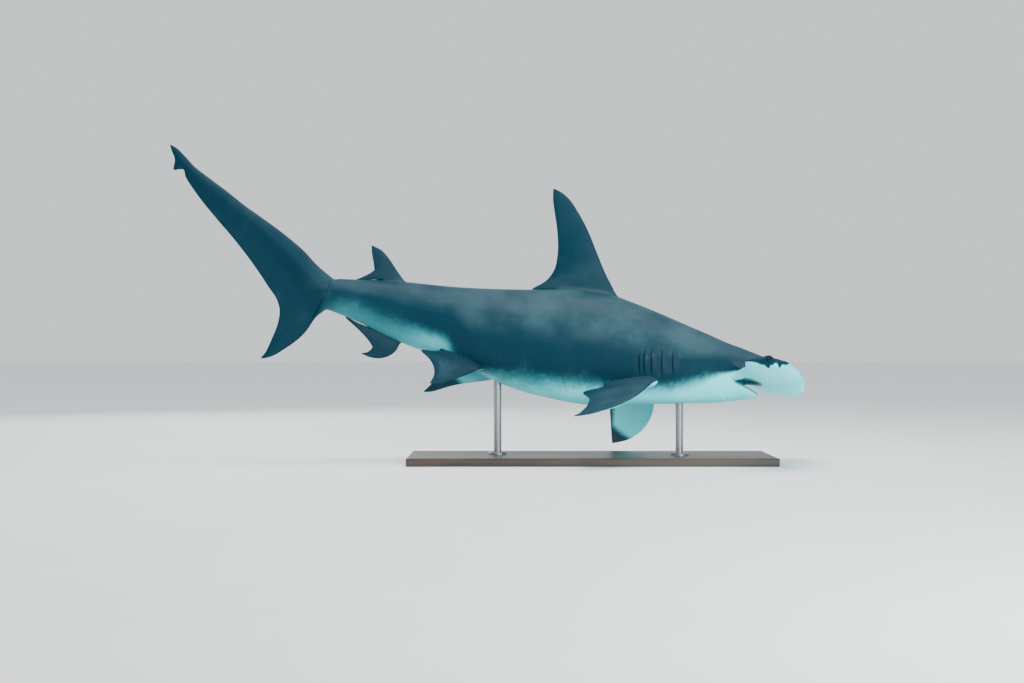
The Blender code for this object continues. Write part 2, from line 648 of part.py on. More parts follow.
def build_fins(trunk_cutter):
    made = []
    made.append(("first_dorsal_fin", fin("d1", DORSAL_FRONT, DORSAL_REAR, taper(0.026, 0.004), upright,
                                         rows=12, columns=8)))
    made.append(("second_dorsal_fin", fin("d2", SECOND_FRONT, SECOND_REAR, taper(0.011, 0.003), upright,
                                          rows=9, columns=6)))
    made.append(("anal_fin", fin("an", ANAL_FRONT, ANAL_REAR, taper(0.011, 0.003), upright, rows=9,
                                 columns=6)))
    for name, data, side in (("left", PECTORAL_LEFT, 1), ("right", PECTORAL_RIGHT, -1)):
        made.append((f"pectoral_fin_{name}", fin("pc", PECTORAL_FRONT, PECTORAL_REAR, taper(0.021, 0.004),
                                                 side_blade(*data, side), rows=12, columns=8)))
    for name, data, side in (("left", PELVIC_LEFT, 1), ("right", PELVIC_RIGHT, -1)):
        made.append((f"pelvic_fin_{name}", fin("pv", PELVIC_FRONT, PELVIC_REAR, taper(0.013, 0.003),
                                               side_blade(*data, side), rows=8, columns=6)))
    for name, mesh in made:
        blade = add_object(name, mesh, PARTS, "fin_grey")
        combine(blade, trunk_cutter, "DIFFERENCE")


def build_tail():
    thick = lambda u: 0.055 * np.exp(-((u / 0.20) ** 1.3)) + 0.016 * (1 - u) + 0.003
    upper = fin("tail", TAIL_FRONT, TAIL_REAR, lambda u: np.minimum(thick(u), 0.055), upright, rows=24,
                columns=8, rear_at=TAIL_REAR_AT, root_oval=0.13)
    add_object("tail_upper_lobe", upper, PARTS, "fin_grey")
    cutter = fin("tail_cut", TAIL_FRONT, TAIL_REAR, lambda u: np.minimum(thick(u), 0.055) + GAP, upright,
                 rows=24, columns=8, rear_at=TAIL_REAR_AT, root_oval=0.13)
    lower = add_object("tail_lower_lobe", fin("lobe", LOWER_FRONT, LOWER_REAR, taper(0.026, 0.003),
                                              upright, rows=9, columns=6), PARTS, "fin_grey")
    stalk = loft("stalk_cut", trunk_rings(["tail_stalk"], GAP) + [body_at(TRUNK[-1][2] + GAP, GAP)])
    cutters = gather("tail_cutters", [cutter, stalk])
    combine(lower, cutters, "DIFFERENCE")
    discard(cutters)


def build_stand(trunk_cutter):
    bpy.ops.mesh.primitive_cube_add(size=1.0, location=(0, 0, BASE_SIZE[2] / 2))
    base = bpy.context.object
    base.name = "stand_base"
    for vertex in base.data.vertices:
        vertex.co = Vector(c * size for c, size in zip(vertex.co, BASE_SIZE))
    for collection in list(base.users_collection):
        collection.objects.unlink(base)
    PARTS.objects.link(base)
    base.data.materials.append(MATERIALS["stand_black"])
    bevel = base.modifiers.new("rounded_edges", "BEVEL")
    bevel.width = 0.006
    bevel.segments = 2
    for name, x, y in ROD_PLACES:
        bottom = BASE_SIZE[2] + GAP
        radius, height = ROD_FLANGE
        outline = ((0, 0.62), (ROD_RADIUS, 0.62), (ROD_RADIUS, bottom + height),
                   (radius - 0.004, bottom + height), (radius, bottom + height - 0.004),
                   (radius, bottom), (0, bottom))
        mesh = bpy.data.meshes.new(name)
        mesh.from_pydata([(px, 0, pz) for px, pz in outline], [(i, i + 1) for i in range(6)], [])
        rod = add_object(name, mesh, PARTS, "rod_steel")
        screw = rod.modifiers.new("turned", "SCREW")
        screw.steps = 24
        screw.render_steps = 24
        screw.use_merge_vertices = True
        screw.merge_threshold = 0.0001
        rod.location = (x, y, 0)
        cut = rod.modifiers.new("seat", "BOOLEAN")
        cut.operation = "DIFFERENCE"
        cut.object = trunk_cutter


empty_scene()
PARTS = make_collection(MODEL_NAME)
CUTTERS = make_collection("cutters")
MATERIALS = {name: make_material(name) for name in COLORS}
ALL_TRUNK = [name for name, _, _ in TRUNK]
body_cutter = add_object("trunk_cutter", loft("trunk_cutter", trunk_rings(ALL_TRUNK, GAP)), CUTTERS)
body_cutter.hide_render = True
body_cutter.display_type = "WIRE"
build_trunk()
build_head()
build_lower_jaw()
build_hammer()
build_fins(body_cutter)
build_tail()
build_stand(body_cutter)
for item in PARTS.objects:
    item.data.shade_smooth()
    item.data.set_sharp_from_angle(angle=math.radians(35))
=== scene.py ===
"""Looks of a life-size great hammerhead shark model on its display stand.

The shark is worked out along a straight body line, as (s, y, z): s runs back from the front edge of
the head, y to the shark's left, z towards its back. Everything is then carried into the swimming
pose by one smooth map, the same for the skin, the fins, the eyes and the teeth.
"""

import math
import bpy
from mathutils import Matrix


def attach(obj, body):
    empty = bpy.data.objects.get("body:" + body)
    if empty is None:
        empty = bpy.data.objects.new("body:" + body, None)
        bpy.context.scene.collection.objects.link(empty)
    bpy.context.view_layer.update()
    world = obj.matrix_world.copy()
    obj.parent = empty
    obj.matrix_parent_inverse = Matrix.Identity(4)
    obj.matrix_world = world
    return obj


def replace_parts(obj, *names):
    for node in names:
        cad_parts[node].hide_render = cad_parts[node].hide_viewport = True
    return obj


bl_info = {
    "name": "Great Hammerhead Display Model",
    "version": (1, 0, 0),
    "blender": (4, 5, 0),
    "location": "View3D > Sidebar > Hammerhead",
    "description": "Skin, fins, eyes, teeth and stand of a life-size hammerhead shark model",
    "category": "Add Mesh",
}

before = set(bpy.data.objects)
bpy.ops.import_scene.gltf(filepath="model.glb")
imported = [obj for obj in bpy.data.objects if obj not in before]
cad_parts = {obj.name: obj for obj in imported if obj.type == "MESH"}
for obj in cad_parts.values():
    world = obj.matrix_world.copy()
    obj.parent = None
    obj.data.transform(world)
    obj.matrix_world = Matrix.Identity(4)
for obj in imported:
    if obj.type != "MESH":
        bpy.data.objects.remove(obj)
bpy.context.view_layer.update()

import bmesh
import bpy
import numpy as np
from bpy.props import FloatProperty, FloatVectorProperty, IntProperty, PointerProperty
from mathutils import Vector

# Swimming pose
NOSE_DOWN = math.radians(10.5)
HEADING = ((0, 16), (0.4, 14.5), (0.8, 11), (1.3, 2), (1.8, -6), (2.46, -12), (3.6, -9))
ROLL = ((0, 11.5), (0.3, 11), (0.6, 7.5), (1.0, 4), (1.7, 3), (2.1, -3), (2.46, -5), (3.6, -5))
ANCHOR_S = 1.0
ANCHOR_POINT = (0.0759, 0.02, 0.5851)

# Camera
CAMERA_DISTANCE = 8.0
METRES_PER_PIXEL = 0.00498
ORIGIN_PIXEL = (590.0, 462.0)
FRAME_SIZE = (1024, 683)

# Body: place along the body, back, belly, half width
BODY = (
    (0.000, 0.020, -0.020, 0.030), (0.035, 0.030, -0.030, 0.045), (0.08, 0.046, -0.042, 0.075),
    (0.13, 0.062, -0.044, 0.092), (0.18, 0.077, -0.044, 0.104), (0.24, 0.091, -0.050, 0.115),
    (0.29, 0.101, -0.060, 0.125), (0.3353, 0.110, -0.157, 0.133), (0.40, 0.121, -0.176, 0.143),
    (0.50, 0.145, -0.199, 0.158), (0.60, 0.168, -0.221, 0.173), (0.76, 0.205, -0.253, 0.196),
    (0.90, 0.234, -0.285, 0.214), (1.02, 0.253, -0.308, 0.226), (1.15, 0.250, -0.314, 0.231),
    (1.26, 0.235, -0.311, 0.229), (1.38, 0.212, -0.303, 0.219), (1.52, 0.188, -0.275, 0.202),
    (1.66, 0.166, -0.232, 0.179), (1.82, 0.146, -0.204, 0.152), (1.97, 0.133, -0.181, 0.124),
    (2.10, 0.121, -0.149, 0.101), (2.20, 0.107, -0.121, 0.084), (2.30, 0.090, -0.098, 0.068),
    (2.40, 0.078, -0.081, 0.055), (2.46, 0.078, -0.079, 0.048))
# First row of the body table whose belly is the throat; the rows ahead of it give the palate
BELLY_FROM = 7
THROAT_LINE = ((0.00, -0.020), (0.08, -0.042), (0.16, -0.050), (0.22, -0.073), (0.28, -0.115),
               (0.3353, -0.157))
# Fall of the palate behind this place, and the stretch in which the throat takes over from it
PALATE_END = 0.29
PALATE_SLOPE = 0.23
THROAT_STEP = (0.318, 0.368)
# Stretch in which the squarish section of the belly becomes the oval one of the tail's root
OVAL_STEP = (2.20, 2.40)
HEAD_END = 0.42

# Head wing: distance from the middle, leading edge, trailing edge, half thickness
WING = ((0.0, 0.007, 0.335, 0.031), (0.05, 0.007, 0.335, 0.031), (0.10, 0.010, 0.330, 0.031),
        (0.13, 0.014, 0.312, 0.031), (0.155, 0.015, 0.296, 0.031), (0.19, 0.014, 0.282, 0.031),
        (0.23, 0.018, 0.272, 0.030), (0.27, 0.027, 0.266, 0.029), (0.32, 0.039, 0.261, 0.028),
        (0.37, 0.050, 0.257, 0.027), (0.40, 0.058, 0.256, 0.026), (0.438, 0.068, 0.255, 0.025))
WING_END = 0.438
# Fall of the wing's middle towards the rear, and its rise at the ends
WING_SLOPE = -0.11
WING_RISE = 0.007
# Height of the wing's middle at one place on the middle line
WING_LEVEL = (0.05, -0.004)
# Lengths over which the front, the rear and the end of the wing are rounded
WING_ROUNDING = (0.060, 0.270, 0.050)
# Scallops of the front edge: depth, place of one crest, spacing
SCALLOP = (0.0030, 0.165, 0.083)
# Swelling over the eye: place, length, height
BROW = (0.185, 0.060, 0.016)

# Mouth
JAW_RIM = ((0.214, -0.0995), (0.235, -0.095), (0.255, -0.0905), (0.28, -0.0845), (0.31, -0.0775),
           (0.3347, -0.0715), (0.40, -0.056))
JAW_DEPTH = ((0.205, 0.046), (0.222, 0.048), (0.255, 0.054), (0.28, 0.060), (0.31, 0.072),
             (0.335, 0.0845), (0.40, 0.119))
UPPER_LIP = ((0.197, -0.0400), (0.24, -0.0435), (0.285, -0.0470), (0.305, -0.0540), (0.322, -0.0660))
MOUTH_FRONT = 0.200
MOUTH_CORNER = 0.322
MOUTH_HALF_WIDTH = 0.100
JAW_HINGE = 0.345
JAW_LENGTH = 0.133
JAW_HALF_WIDTH = 0.121
LOWER_LIP_HALF_WIDTH = 0.113
# Stretch behind the mouth in which the jaw ends and the trunk takes over
JAW_FADE = (0.345, 0.405)
# Hollows of the mouth and of the cheek beside it, as centre and radii
PALATE = ((0.268, 0.0, -0.050), (0.064, 0.086, 0.028))
GULLET = ((0.318, 0.0, -0.086), (0.062, 0.074, 0.024))
CHEEK = ((0.262, 0.125, -0.078), (0.058, 0.050, 0.030))
# Fold that runs back and down from the corner of the mouth: start, length, drop, half width
FOLD = ((0.318, -0.066), 0.050, 0.030, 0.0042)

# Eyes: LID is the swelling of the skin round the eye, RIM the thin edge of the lids on it
EYE_PLACE = (0.145, 0.4225, 0.003)
EYE_RADIUS = 0.018
SOCKET_RADIUS = 0.0186
LID_RADIUS = 0.0180
LID_REACH = 0.4330
LID_THICKNESS = 0.0046
RIM_RADIUS = 0.0170
RIM_THICKNESS = 0.0043

# Nostrils: both ends and the radius of the slot and of the flap over it
NOSTRIL_SLOT = ((0.046, 0.368, -0.003), (0.066, 0.416, -0.001), 0.0050)
NOSTRIL_FLAP = ((0.052, 0.372, 0.010), (0.070, 0.412, 0.011), 0.0045)

# Gill slits: place of the lower end, height of the lower and the upper end
GILLS = ((0.618, -0.094, 0.010), (0.667, -0.125, 0.009), (0.717, -0.128, 0.001), (0.754, -0.125, -0.014),
         (0.780, -0.123, -0.032))
GILL_LEAN = 0.20
GILL_FOOT = -0.125

# Paired fins: root place, droop, sweep, tilt of the rear edge down, upward bend, size
PECTORAL_RIGHT = ((0.714, 0.185, -0.160), 37, 3.5, 11.5, 0.56, 1.14)
PECTORAL_LEFT = ((0.721, 0.185, -0.222), 42, -12.5, -13, -0.06, 1.14)
PELVIC_RIGHT = ((1.612, 0.100, -0.248), 80, 29, -16, -0.39, 1.27)
PELVIC_LEFT = ((1.612, 0.100, -0.300), 75, 60, -15, -2.2, 1.33)
PECTORAL_FRONT = ((-0.03, -0.11), (0.0, 0.0), (0.045, 0.13), (0.12, 0.26), (0.205, 0.36), (0.262, 0.408))
PECTORAL_REAR = ((0.16, -0.11), (0.20, 0.0), (0.29, 0.05), (0.25, 0.11), (0.243, 0.16), (0.25, 0.25),
                 (0.262, 0.35), (0.268, 0.406))
PELVIC_FRONT = ((-0.03, -0.07), (0.0, 0.0), (0.05, 0.065), (0.095, 0.11), (0.13, 0.125))
PELVIC_REAR = ((0.14, -0.07), (0.185, 0.0), (0.25, 0.03), (0.195, 0.047), (0.158, 0.068), (0.138, 0.095),
               (0.134, 0.123))

# Fins on the middle line, as (s, z)
DORSAL_FRONT = ((0.965, 0.17), (0.992, 0.25), (1.069, 0.360), (1.125, 0.448), (1.192, 0.554),
                (1.256, 0.636), (1.314, 0.695), (1.368, 0.724), (1.392, 0.730))
DORSAL_REAR = ((1.25, 0.15), (1.275, 0.215), (1.41, 0.208), (1.344, 0.271), (1.318, 0.33),
               (1.316, 0.394), (1.344, 0.536), (1.369, 0.611), (1.389, 0.676), (1.397, 0.728))
SECOND_FRONT = ((2.02, 0.09), (2.047, 0.130), (2.093, 0.176), (2.141, 0.225), (2.186, 0.259),
                (2.234, 0.273))
SECOND_REAR = ((2.13, 0.06), (2.145, 0.098), (2.326, 0.066), (2.236, 0.114), (2.203, 0.145),
               (2.211, 0.182), (2.231, 0.237), (2.239, 0.271))
ANAL_FRONT = ((2.00, -0.12), (2.009, -0.175), (2.026, -0.225), (2.052, -0.251), (2.087, -0.269),
              (2.125, -0.275), (2.164, -0.271), (2.188, -0.264))
ANAL_REAR = ((2.12, -0.08), (2.141, -0.115), (2.300, -0.100), (2.192, -0.163), (2.150, -0.186),
             (2.137, -0.203), (2.142, -0.227), (2.160, -0.250), (2.193, -0.262))

# Tail: upper edge, then the lower and rear edge with the row at which each point is reached
TAIL_TOP = ((2.40, 0.078), (2.477, 0.121), (2.566, 0.185), (2.673, 0.245), (2.777, 0.295),
            (2.879, 0.341), (2.982, 0.395), (3.084, 0.445), (3.155, 0.482), (3.208, 0.522),
            (3.259, 0.554), (3.281, 0.560))
TAIL_LOWER = ((0.0, 2.400, -0.081), (0.012, 2.416, -0.098), (0.030, 2.447, -0.138),
              (0.045, 2.473, -0.200), (0.060, 2.510, -0.256), (0.075, 2.566, -0.314),
              (0.088, 2.615, -0.357), (0.100, 2.669, -0.379), (0.112, 2.652, -0.345),
              (0.128, 2.632, -0.264), (0.148, 2.619, -0.185), (0.165, 2.623, -0.128),
              (0.185, 2.643, -0.084), (0.225, 2.696, -0.027), (0.33, 2.79, 0.069),
              (0.46, 2.903, 0.171), (0.60, 3.024, 0.269), (0.71, 3.112, 0.346), (0.81, 3.186, 0.424),
              (0.86, 3.203, 0.455), (0.885, 3.223, 0.451), (0.915, 3.247, 0.444),
              (0.95, 3.249, 0.495), (0.98, 3.269, 0.529), (1.0, 3.284, 0.558))
# The tail's rows stay close together on the upper edge up to the lower lobe's tip, then catch up
ROW_START = 0.1
ROW_CATCH_UP = (0.10, 0.16)
# Backbone in the tail: place, height, thickness and half width of its ridge
TAIL_AXIS = ((2.40, 0.0, 0.055, 0.075), (2.50, 0.055, 0.044, 0.070), (2.60, 0.130, 0.031, 0.055),
             (2.80, 0.262, 0.020, 0.042), (3.00, 0.365, 0.014, 0.034), (3.15, 0.450, 0.009, 0.028),
             (3.27, 0.535, 0.004, 0.020))
TAIL_EDGE_ROUNDING = 0.020
TAIL_ROOT_HALF_WIDTH = 0.055

# Border of the pale underside along the body, as (s, z, half its soft width, strength)
BORDER = ((0.28, -0.020, 0.010, 1.0), (0.33, -0.028, 0.012, 1.0), (0.375, -0.044, 0.018, 1.0),
          (0.42, -0.066, 0.030, 1.0), (0.486, -0.102, 0.046, 1.0), (0.54, -0.125, 0.054, 1.0),
          (0.60, -0.144, 0.054, 1.0), (0.70, -0.170, 0.052, 1.0), (0.82, -0.192, 0.055, 1.0),
          (0.97, -0.208, 0.060, 1.0), (1.08, -0.216, 0.070, 1.0), (1.18, -0.230, 0.075, 1.0),
          (1.285, -0.239, 0.075, 0.95), (1.39, -0.248, 0.070, 0.9), (1.49, -0.252, 0.060, 0.85),
          (1.58, -0.250, 0.045, 0.7), (1.65, -0.240, 0.035, 0.40), (1.70, -0.225, 0.030, 0.10),
          (1.74, -0.175, 0.040, 0.10), (1.79, -0.120, 0.045, 0.38), (1.85, -0.100, 0.045, 0.44),
          (1.93, -0.092, 0.050, 0.36), (2.00, -0.080, 0.060, 0.26), (2.14, -0.040, 0.070, 0.16),
          (2.32, -0.025, 0.060, 0.16), (2.42, -0.030, 0.050, 0.08), (2.50, -0.06, 0.050, 0.0))
# Share of painted light from above along the body: the top of the back keeps the lighter slate, and below
# it the flanks darken to the flank colour as painted shade
PAINTED_TOP_LIGHT = ((0.20, 0.25), (0.33, 0.40), (0.45, 0.80), (0.60, 1.0), (1.30, 1.0), (1.60, 0.80),
              (2.00, 0.60), (2.40, 0.45), (2.56, 0.0))
# Border on the ends of the head wing, as (s, height above the wing's middle)
END_BORDER = ((0.00, 0.012), (0.040, 0.010), (0.056, -0.003), (0.080, -0.006), (0.090, -0.019),
              (0.100, -0.004), (0.112, -0.001), (0.122, -0.012), (0.131, -0.013), (0.140, -0.030),
              (0.151, -0.018), (0.178, -0.012), (0.205, -0.005), (0.235, -0.004), (0.27, -0.004))

# Solids that the one skin takes the place of, and the number of points round its trunk
TRUNK_SIDES = 128
FLESH_NODES = ("head", "hammer_left", "hammer_right", "lower_jaw", "gill_region", "chest", "belly",
               "rear_body", "tail_stalk", "tail_upper_lobe", "tail_lower_lobe")

# Fins: node, front edge, rear edge, half thickness at root and tip, share of the fillet and the
# stretch in which the rear lobe comes free of the body
MIDDLE_FINS = (
    ("first_dorsal_fin", DORSAL_FRONT, DORSAL_REAR, (0.026, 0.004), 1.0, (1.27, 1.31)),
    ("second_dorsal_fin", SECOND_FRONT, SECOND_REAR, (0.011, 0.003), 0.6, (2.135, 2.165)),
    ("anal_fin", ANAL_FRONT, ANAL_REAR, (0.011, 0.003), 0.6, (2.13, 2.16)))
PAIRED_FINS = (
    ("pectoral_fin", PECTORAL_FRONT, PECTORAL_REAR, (0.021, 0.004), 1.0, (0.195, 0.225),
     PECTORAL_LEFT, PECTORAL_RIGHT),
    ("pelvic_fin", PELVIC_FRONT, PELVIC_REAR, (0.013, 0.003), 0.7, (0.175, 0.20),
     PELVIC_LEFT, PELVIC_RIGHT))

# Teeth: height and width shares of the rings that make one tooth, and sides of a ring
TOOTH_RINGS = ((-0.35, 1.05), (0.0, 1.0), (0.35, 0.62), (0.72, 0.27), (1.0, 0.03))
TOOTH_SIDES = 8
TOOTH_WIDTH = 0.0078

# Studio: air colour, then name, place, aim, size, share of the power and colour of each lamp
AIR_COLOUR = (0.90, 0.95, 0.97, 1.0)
LAMPS = (("key_lamp", (0.2, -0.6, 4.8), (-0.3, 0, 0.7), (3.6, 2.4), 0.6, (1.0, 1.0, 1.0)),
         ("front_lamp", (2.4, -5.6, 1.7), (0.5, 0, 0.5), (3.2, 1.6), 0.70, (0.95, 0.98, 1.0)),
         ("rear_lamp", (-3.0, 5.0, 3.0), (-0.3, 0, 0.7), (3.0, 2.0), 0.35, (0.92, 0.97, 1.0)))
FLOOR_RADIUS = 40
MOST_SKIN_FACES = 110000


def smooth(x, stations, values):
    """Cubic curve through the stations, held flat beyond both ends."""
    xs = np.asarray(stations, float)
    ys = np.asarray(values, float)
    step = np.diff(xs)
    slope = np.diff(ys) / step
    tangent = np.empty_like(ys)
    tangent[0] = slope[0]
    tangent[-1] = slope[-1]
    tangent[1:-1] = (slope[:-1] * step[1:] + slope[1:] * step[:-1]) / (step[:-1] + step[1:])
    x = np.clip(x, xs[0], xs[-1])
    i = np.clip(np.searchsorted(xs, x, side="right") - 1, 0, len(xs) - 2)
    t = (x - xs[i]) / step[i]
    return (ys[i] * (1 + 2 * t) * (1 - t) ** 2 + ys[i + 1] * t * t * (3 - 2 * t)
            + step[i] * (tangent[i] * t * (1 - t) ** 2 - tangent[i + 1] * t * t * (1 - t)))


def column(table, k):
    """One column of a table of rows."""
    return np.array([row[k] for row in table])


def follow(table, x, k=1):
    """Smooth value of column k at the places x, where column 0 holds the stations."""
    return smooth(x, column(table, 0), column(table, k))


def resample(points, fractions):
    """Smooth curve through points, read at fractions of its length."""
    points = np.array(points, float)
    at = np.concatenate([[0], np.cumsum(np.linalg.norm(np.diff(points, axis=0), axis=1))])
    return np.stack([smooth(fractions, at / at[-1], points[:, k]) for k in range(2)], 1)


def step_up(x, low, high):
    """0 below low, 1 above high, with a smooth S between."""
    t = np.clip((x - low) / (high - low), 0.0, 1.0)
    return t * t * (3 - 2 * t)


def soft_min(a, b, k):
    """Union of two distances with a rounded inner corner of size k."""
    h = np.clip(0.5 + 0.5 * (b - a) / k, 0.0, 1.0)
    return b + (a - b) * h - k * h * (1 - h)


def soft_max(a, b, k):
    """Intersection of two distances with a rounded edge of size k."""
    return -soft_min(-a, -b, k)


def spine_tables():
    """Heading and pitch integrated into a line, with a left and an up direction at each point."""
    s = np.linspace(-0.2, 3.8, 1601)
    yaw = np.radians(follow(HEADING, s))
    roll = np.radians(follow(ROLL, s))[:, None]
    ahead = np.stack([np.cos(yaw) * math.cos(NOSE_DOWN), -np.sin(yaw) * math.cos(NOSE_DOWN),
                      np.full_like(yaw, -math.sin(NOSE_DOWN))], 1)
    line = np.zeros((len(s), 3))
    line[1:] = -np.cumsum((ahead[1:] + ahead[:-1]) / 2 * (s[1] - s[0]), 0)
    line += np.array(ANCHOR_POINT) - [np.interp(ANCHOR_S, s, line[:, k]) for k in range(3)]
    world_up = np.array([0.0, 0.0, 1.0])
    up = world_up - (ahead @ world_up)[:, None] * ahead
    up /= np.linalg.norm(up, axis=1)[:, None]
    left = np.cross(up, ahead)
    return s, line, left * np.cos(roll) - up * np.sin(roll), up * np.cos(roll) + left * np.sin(roll)


SPINE = spine_tables()


def pose(points):
    """Carry (s, y, z) into the pose: the line's point, plus y to its left, plus z to its up side."""
    p = np.asarray(points, float)
    s, line, left, up = SPINE
    at = [np.stack([np.interp(p[..., 0], s, table[:, k]) for k in range(3)], -1)
          for table in (line, left, up)]
    return at[0] + p[..., 1:2] * at[1] + p[..., 2:3] * at[2]


def body_size(s):
    """Back, belly, half width and height of the widest line along the body.

    Ahead of the throat the belly is the palate, and the widest line keeps the run it would have if
    the throat went on forwards."""
    top = follow(BODY, s, 1)
    half = follow(BODY, s, 3)
    ahead, behind = BODY[:BELLY_FROM], BODY[BELLY_FROM:]
    palate = follow(ahead, s, 2) - np.clip(s - PALATE_END, 0, 0.05) * PALATE_SLOPE
    belly = follow(behind, s, 2)
    bottom = palate + (belly - palate) * step_up(s, *THROAT_STEP)
    even = step_up(s, *OVAL_STEP)
    level = np.where(s < behind[0][0], follow(THROAT_LINE, s), belly)
    middle = top - (0.53 - 0.03 * even) * (top - level)
    return top, bottom, half, middle


def section_powers(s):
    """Squareness of the section above and below its widest line."""
    even = step_up(s, *OVAL_STEP)
    return 1.9 + 0.1 * even, 2.25 - 0.25 * even


def body_distance(s, y, z):
    """Distance from the trunk: |y/w|^n + |z/h|^n = 1 at each place, scaled to metres."""
    top, bottom, half, middle = body_size(s)
    upper, lower = section_powers(s)
    above = z >= middle
    n = np.where(above, upper, lower)
    tall = np.where(above, top - middle, middle - bottom)
    ratio = (np.abs(y / half) ** n + np.abs((z - middle) / tall) ** n + 1e-9) ** (1 / n)
    return (ratio - 1) * np.minimum(half, tall)


def body_ring(s, turn):
    """Points on the trunk: y = w sin(a)^(2/n), z = middle + h cos(a)^(2/n)."""
    top, bottom, half, middle = body_size(s)
    upper, lower = section_powers(s)
    c, n = np.cos(turn), np.sin(turn)
    power = 2 / np.where(c >= 0, upper, lower)
    tall = np.where(c >= 0, top - middle, middle - bottom)
    return half * np.sign(n) * np.abs(n) ** power, middle + tall * np.sign(c) * np.abs(c) ** power


def wing_middle(s, y):
    """Height of the wing's middle: it falls towards the rear and rises a little to both ends."""
    return WING_SLOPE * (s - WING_LEVEL[0]) + WING_LEVEL[1] + WING_RISE * (y / WING_END) ** 2


def wing_distance(s, y, z):
    """Distance from the head wing, a plate with an outline in plan and rounded edges.

    The depth in from each edge is divided by that edge's rounding length; the smallest, e, gives
    the half thickness H * sqrt(1 - (1 - e)^2)."""
    a = np.abs(y)
    lead, trail, half = (follow(WING, a, k) for k in (1, 2, 3))
    depth, crest, spacing = SCALLOP
    lead = lead + depth * step_up(a, 0.07, 0.16) * np.cos((a - crest) * (2 * math.pi / spacing))
    corner_lead = (s - lead) / WING_ROUNDING[0]
    corner_trail = (trail - s) / WING_ROUNDING[1]
    corner_end = (WING_END - a) / WING_ROUNDING[2]
    e = soft_min(soft_min(corner_lead, corner_end, 0.65), corner_trail, 0.12)
    brow = BROW[2] * np.exp(-((s - BROW[0]) / BROW[1]) ** 2) * step_up(a, 0.32, 0.41)
    middle = wing_middle(s, a)
    tall = np.where(z > middle, half + brow, half)
    edge = 1 - np.minimum(e, 1.0)
    near = (np.sqrt(((z - middle) / tall) ** 2 + edge ** 2) - 1) * half
    beyond = np.maximum(np.maximum(lead - s, s - trail), a - WING_END)
    return np.maximum(near, 0.8 * beyond)


def jaw_distance(s, y, z):
    """Distance from the lower jaw: half a bowl, round in plan, cut flat at the rim."""
    rim = follow(JAW_RIM, s)
    deep = follow(JAW_DEPTH, s)
    wide = JAW_HALF_WIDTH + 0.020 * step_up(s, 0.30, 0.40)
    plan = np.sqrt(np.clip(JAW_HINGE - s, 0, None) ** 2 / JAW_LENGTH ** 2 + (np.abs(y) / wide) ** 2.2)
    bowl = (np.sqrt(plan ** 2 + (np.clip(rim - z, 0, None) / deep) ** 2) - 1) * 0.06
    hollow = (np.sqrt((plan * 1.20) ** 2 + ((z - rim) / 0.022) ** 2) - 1) * 0.02
    solid = soft_max(bowl, z - rim, 0.010)
    solid = soft_max(solid, -hollow, 0.006)
    return solid + 0.016 * step_up(s, *JAW_FADE)


def blob(s, y, z, centre, radii):
    """Distance from an ellipsoid."""
    q = np.sqrt(((s - centre[0]) / radii[0]) ** 2 + ((y - centre[1]) / radii[1]) ** 2
                + ((z - centre[2]) / radii[2]) ** 2)
    return (q - 1) * min(radii)


def rod_distance(s, y, z, start, end, radius):
    """Distance from a round-ended rod."""
    a = np.array(start)
    d = np.array(end) - a
    t = np.clip(((s - a[0]) * d[0] + (y - a[1]) * d[1] + (z - a[2]) * d[2]) / (d @ d), 0, 1)
    return np.sqrt((s - a[0] - t * d[0]) ** 2 + (y - a[1] - t * d[1]) ** 2
                   + (z - a[2] - t * d[2]) ** 2) - radius


def upper_lip(t):
    """Half of the upper lip's line, t from 0 in front to 1 at the corner."""
    s = MOUTH_FRONT + (MOUTH_CORNER - MOUTH_FRONT) * t ** 2.3
    return s, MOUTH_HALF_WIDTH * t, follow(UPPER_LIP, s)


def lower_lip(t):
    """Half of the lower lip's line."""
    s = JAW_HINGE - 0.131 * np.sqrt(np.clip(1 - t ** 2.2 * 0.985, 0, 1))
    return s, LOWER_LIP_HALF_WIDTH * t, follow(JAW_RIM, s) - 0.0035 * (1 - t ** 4)


def lip_distance(s, a, z, line, radius, pieces=18):
    """Distance from a lip, a round cord along its line."""
    t = np.linspace(0, 1, pieces + 1)
    points = np.stack(line(t), 1)
    best = np.full(s.shape, 1.0)
    for start, end in zip(points[:-1], points[1:]):
        best = np.minimum(best, rod_distance(s, a, z, start, end, radius))
    return best


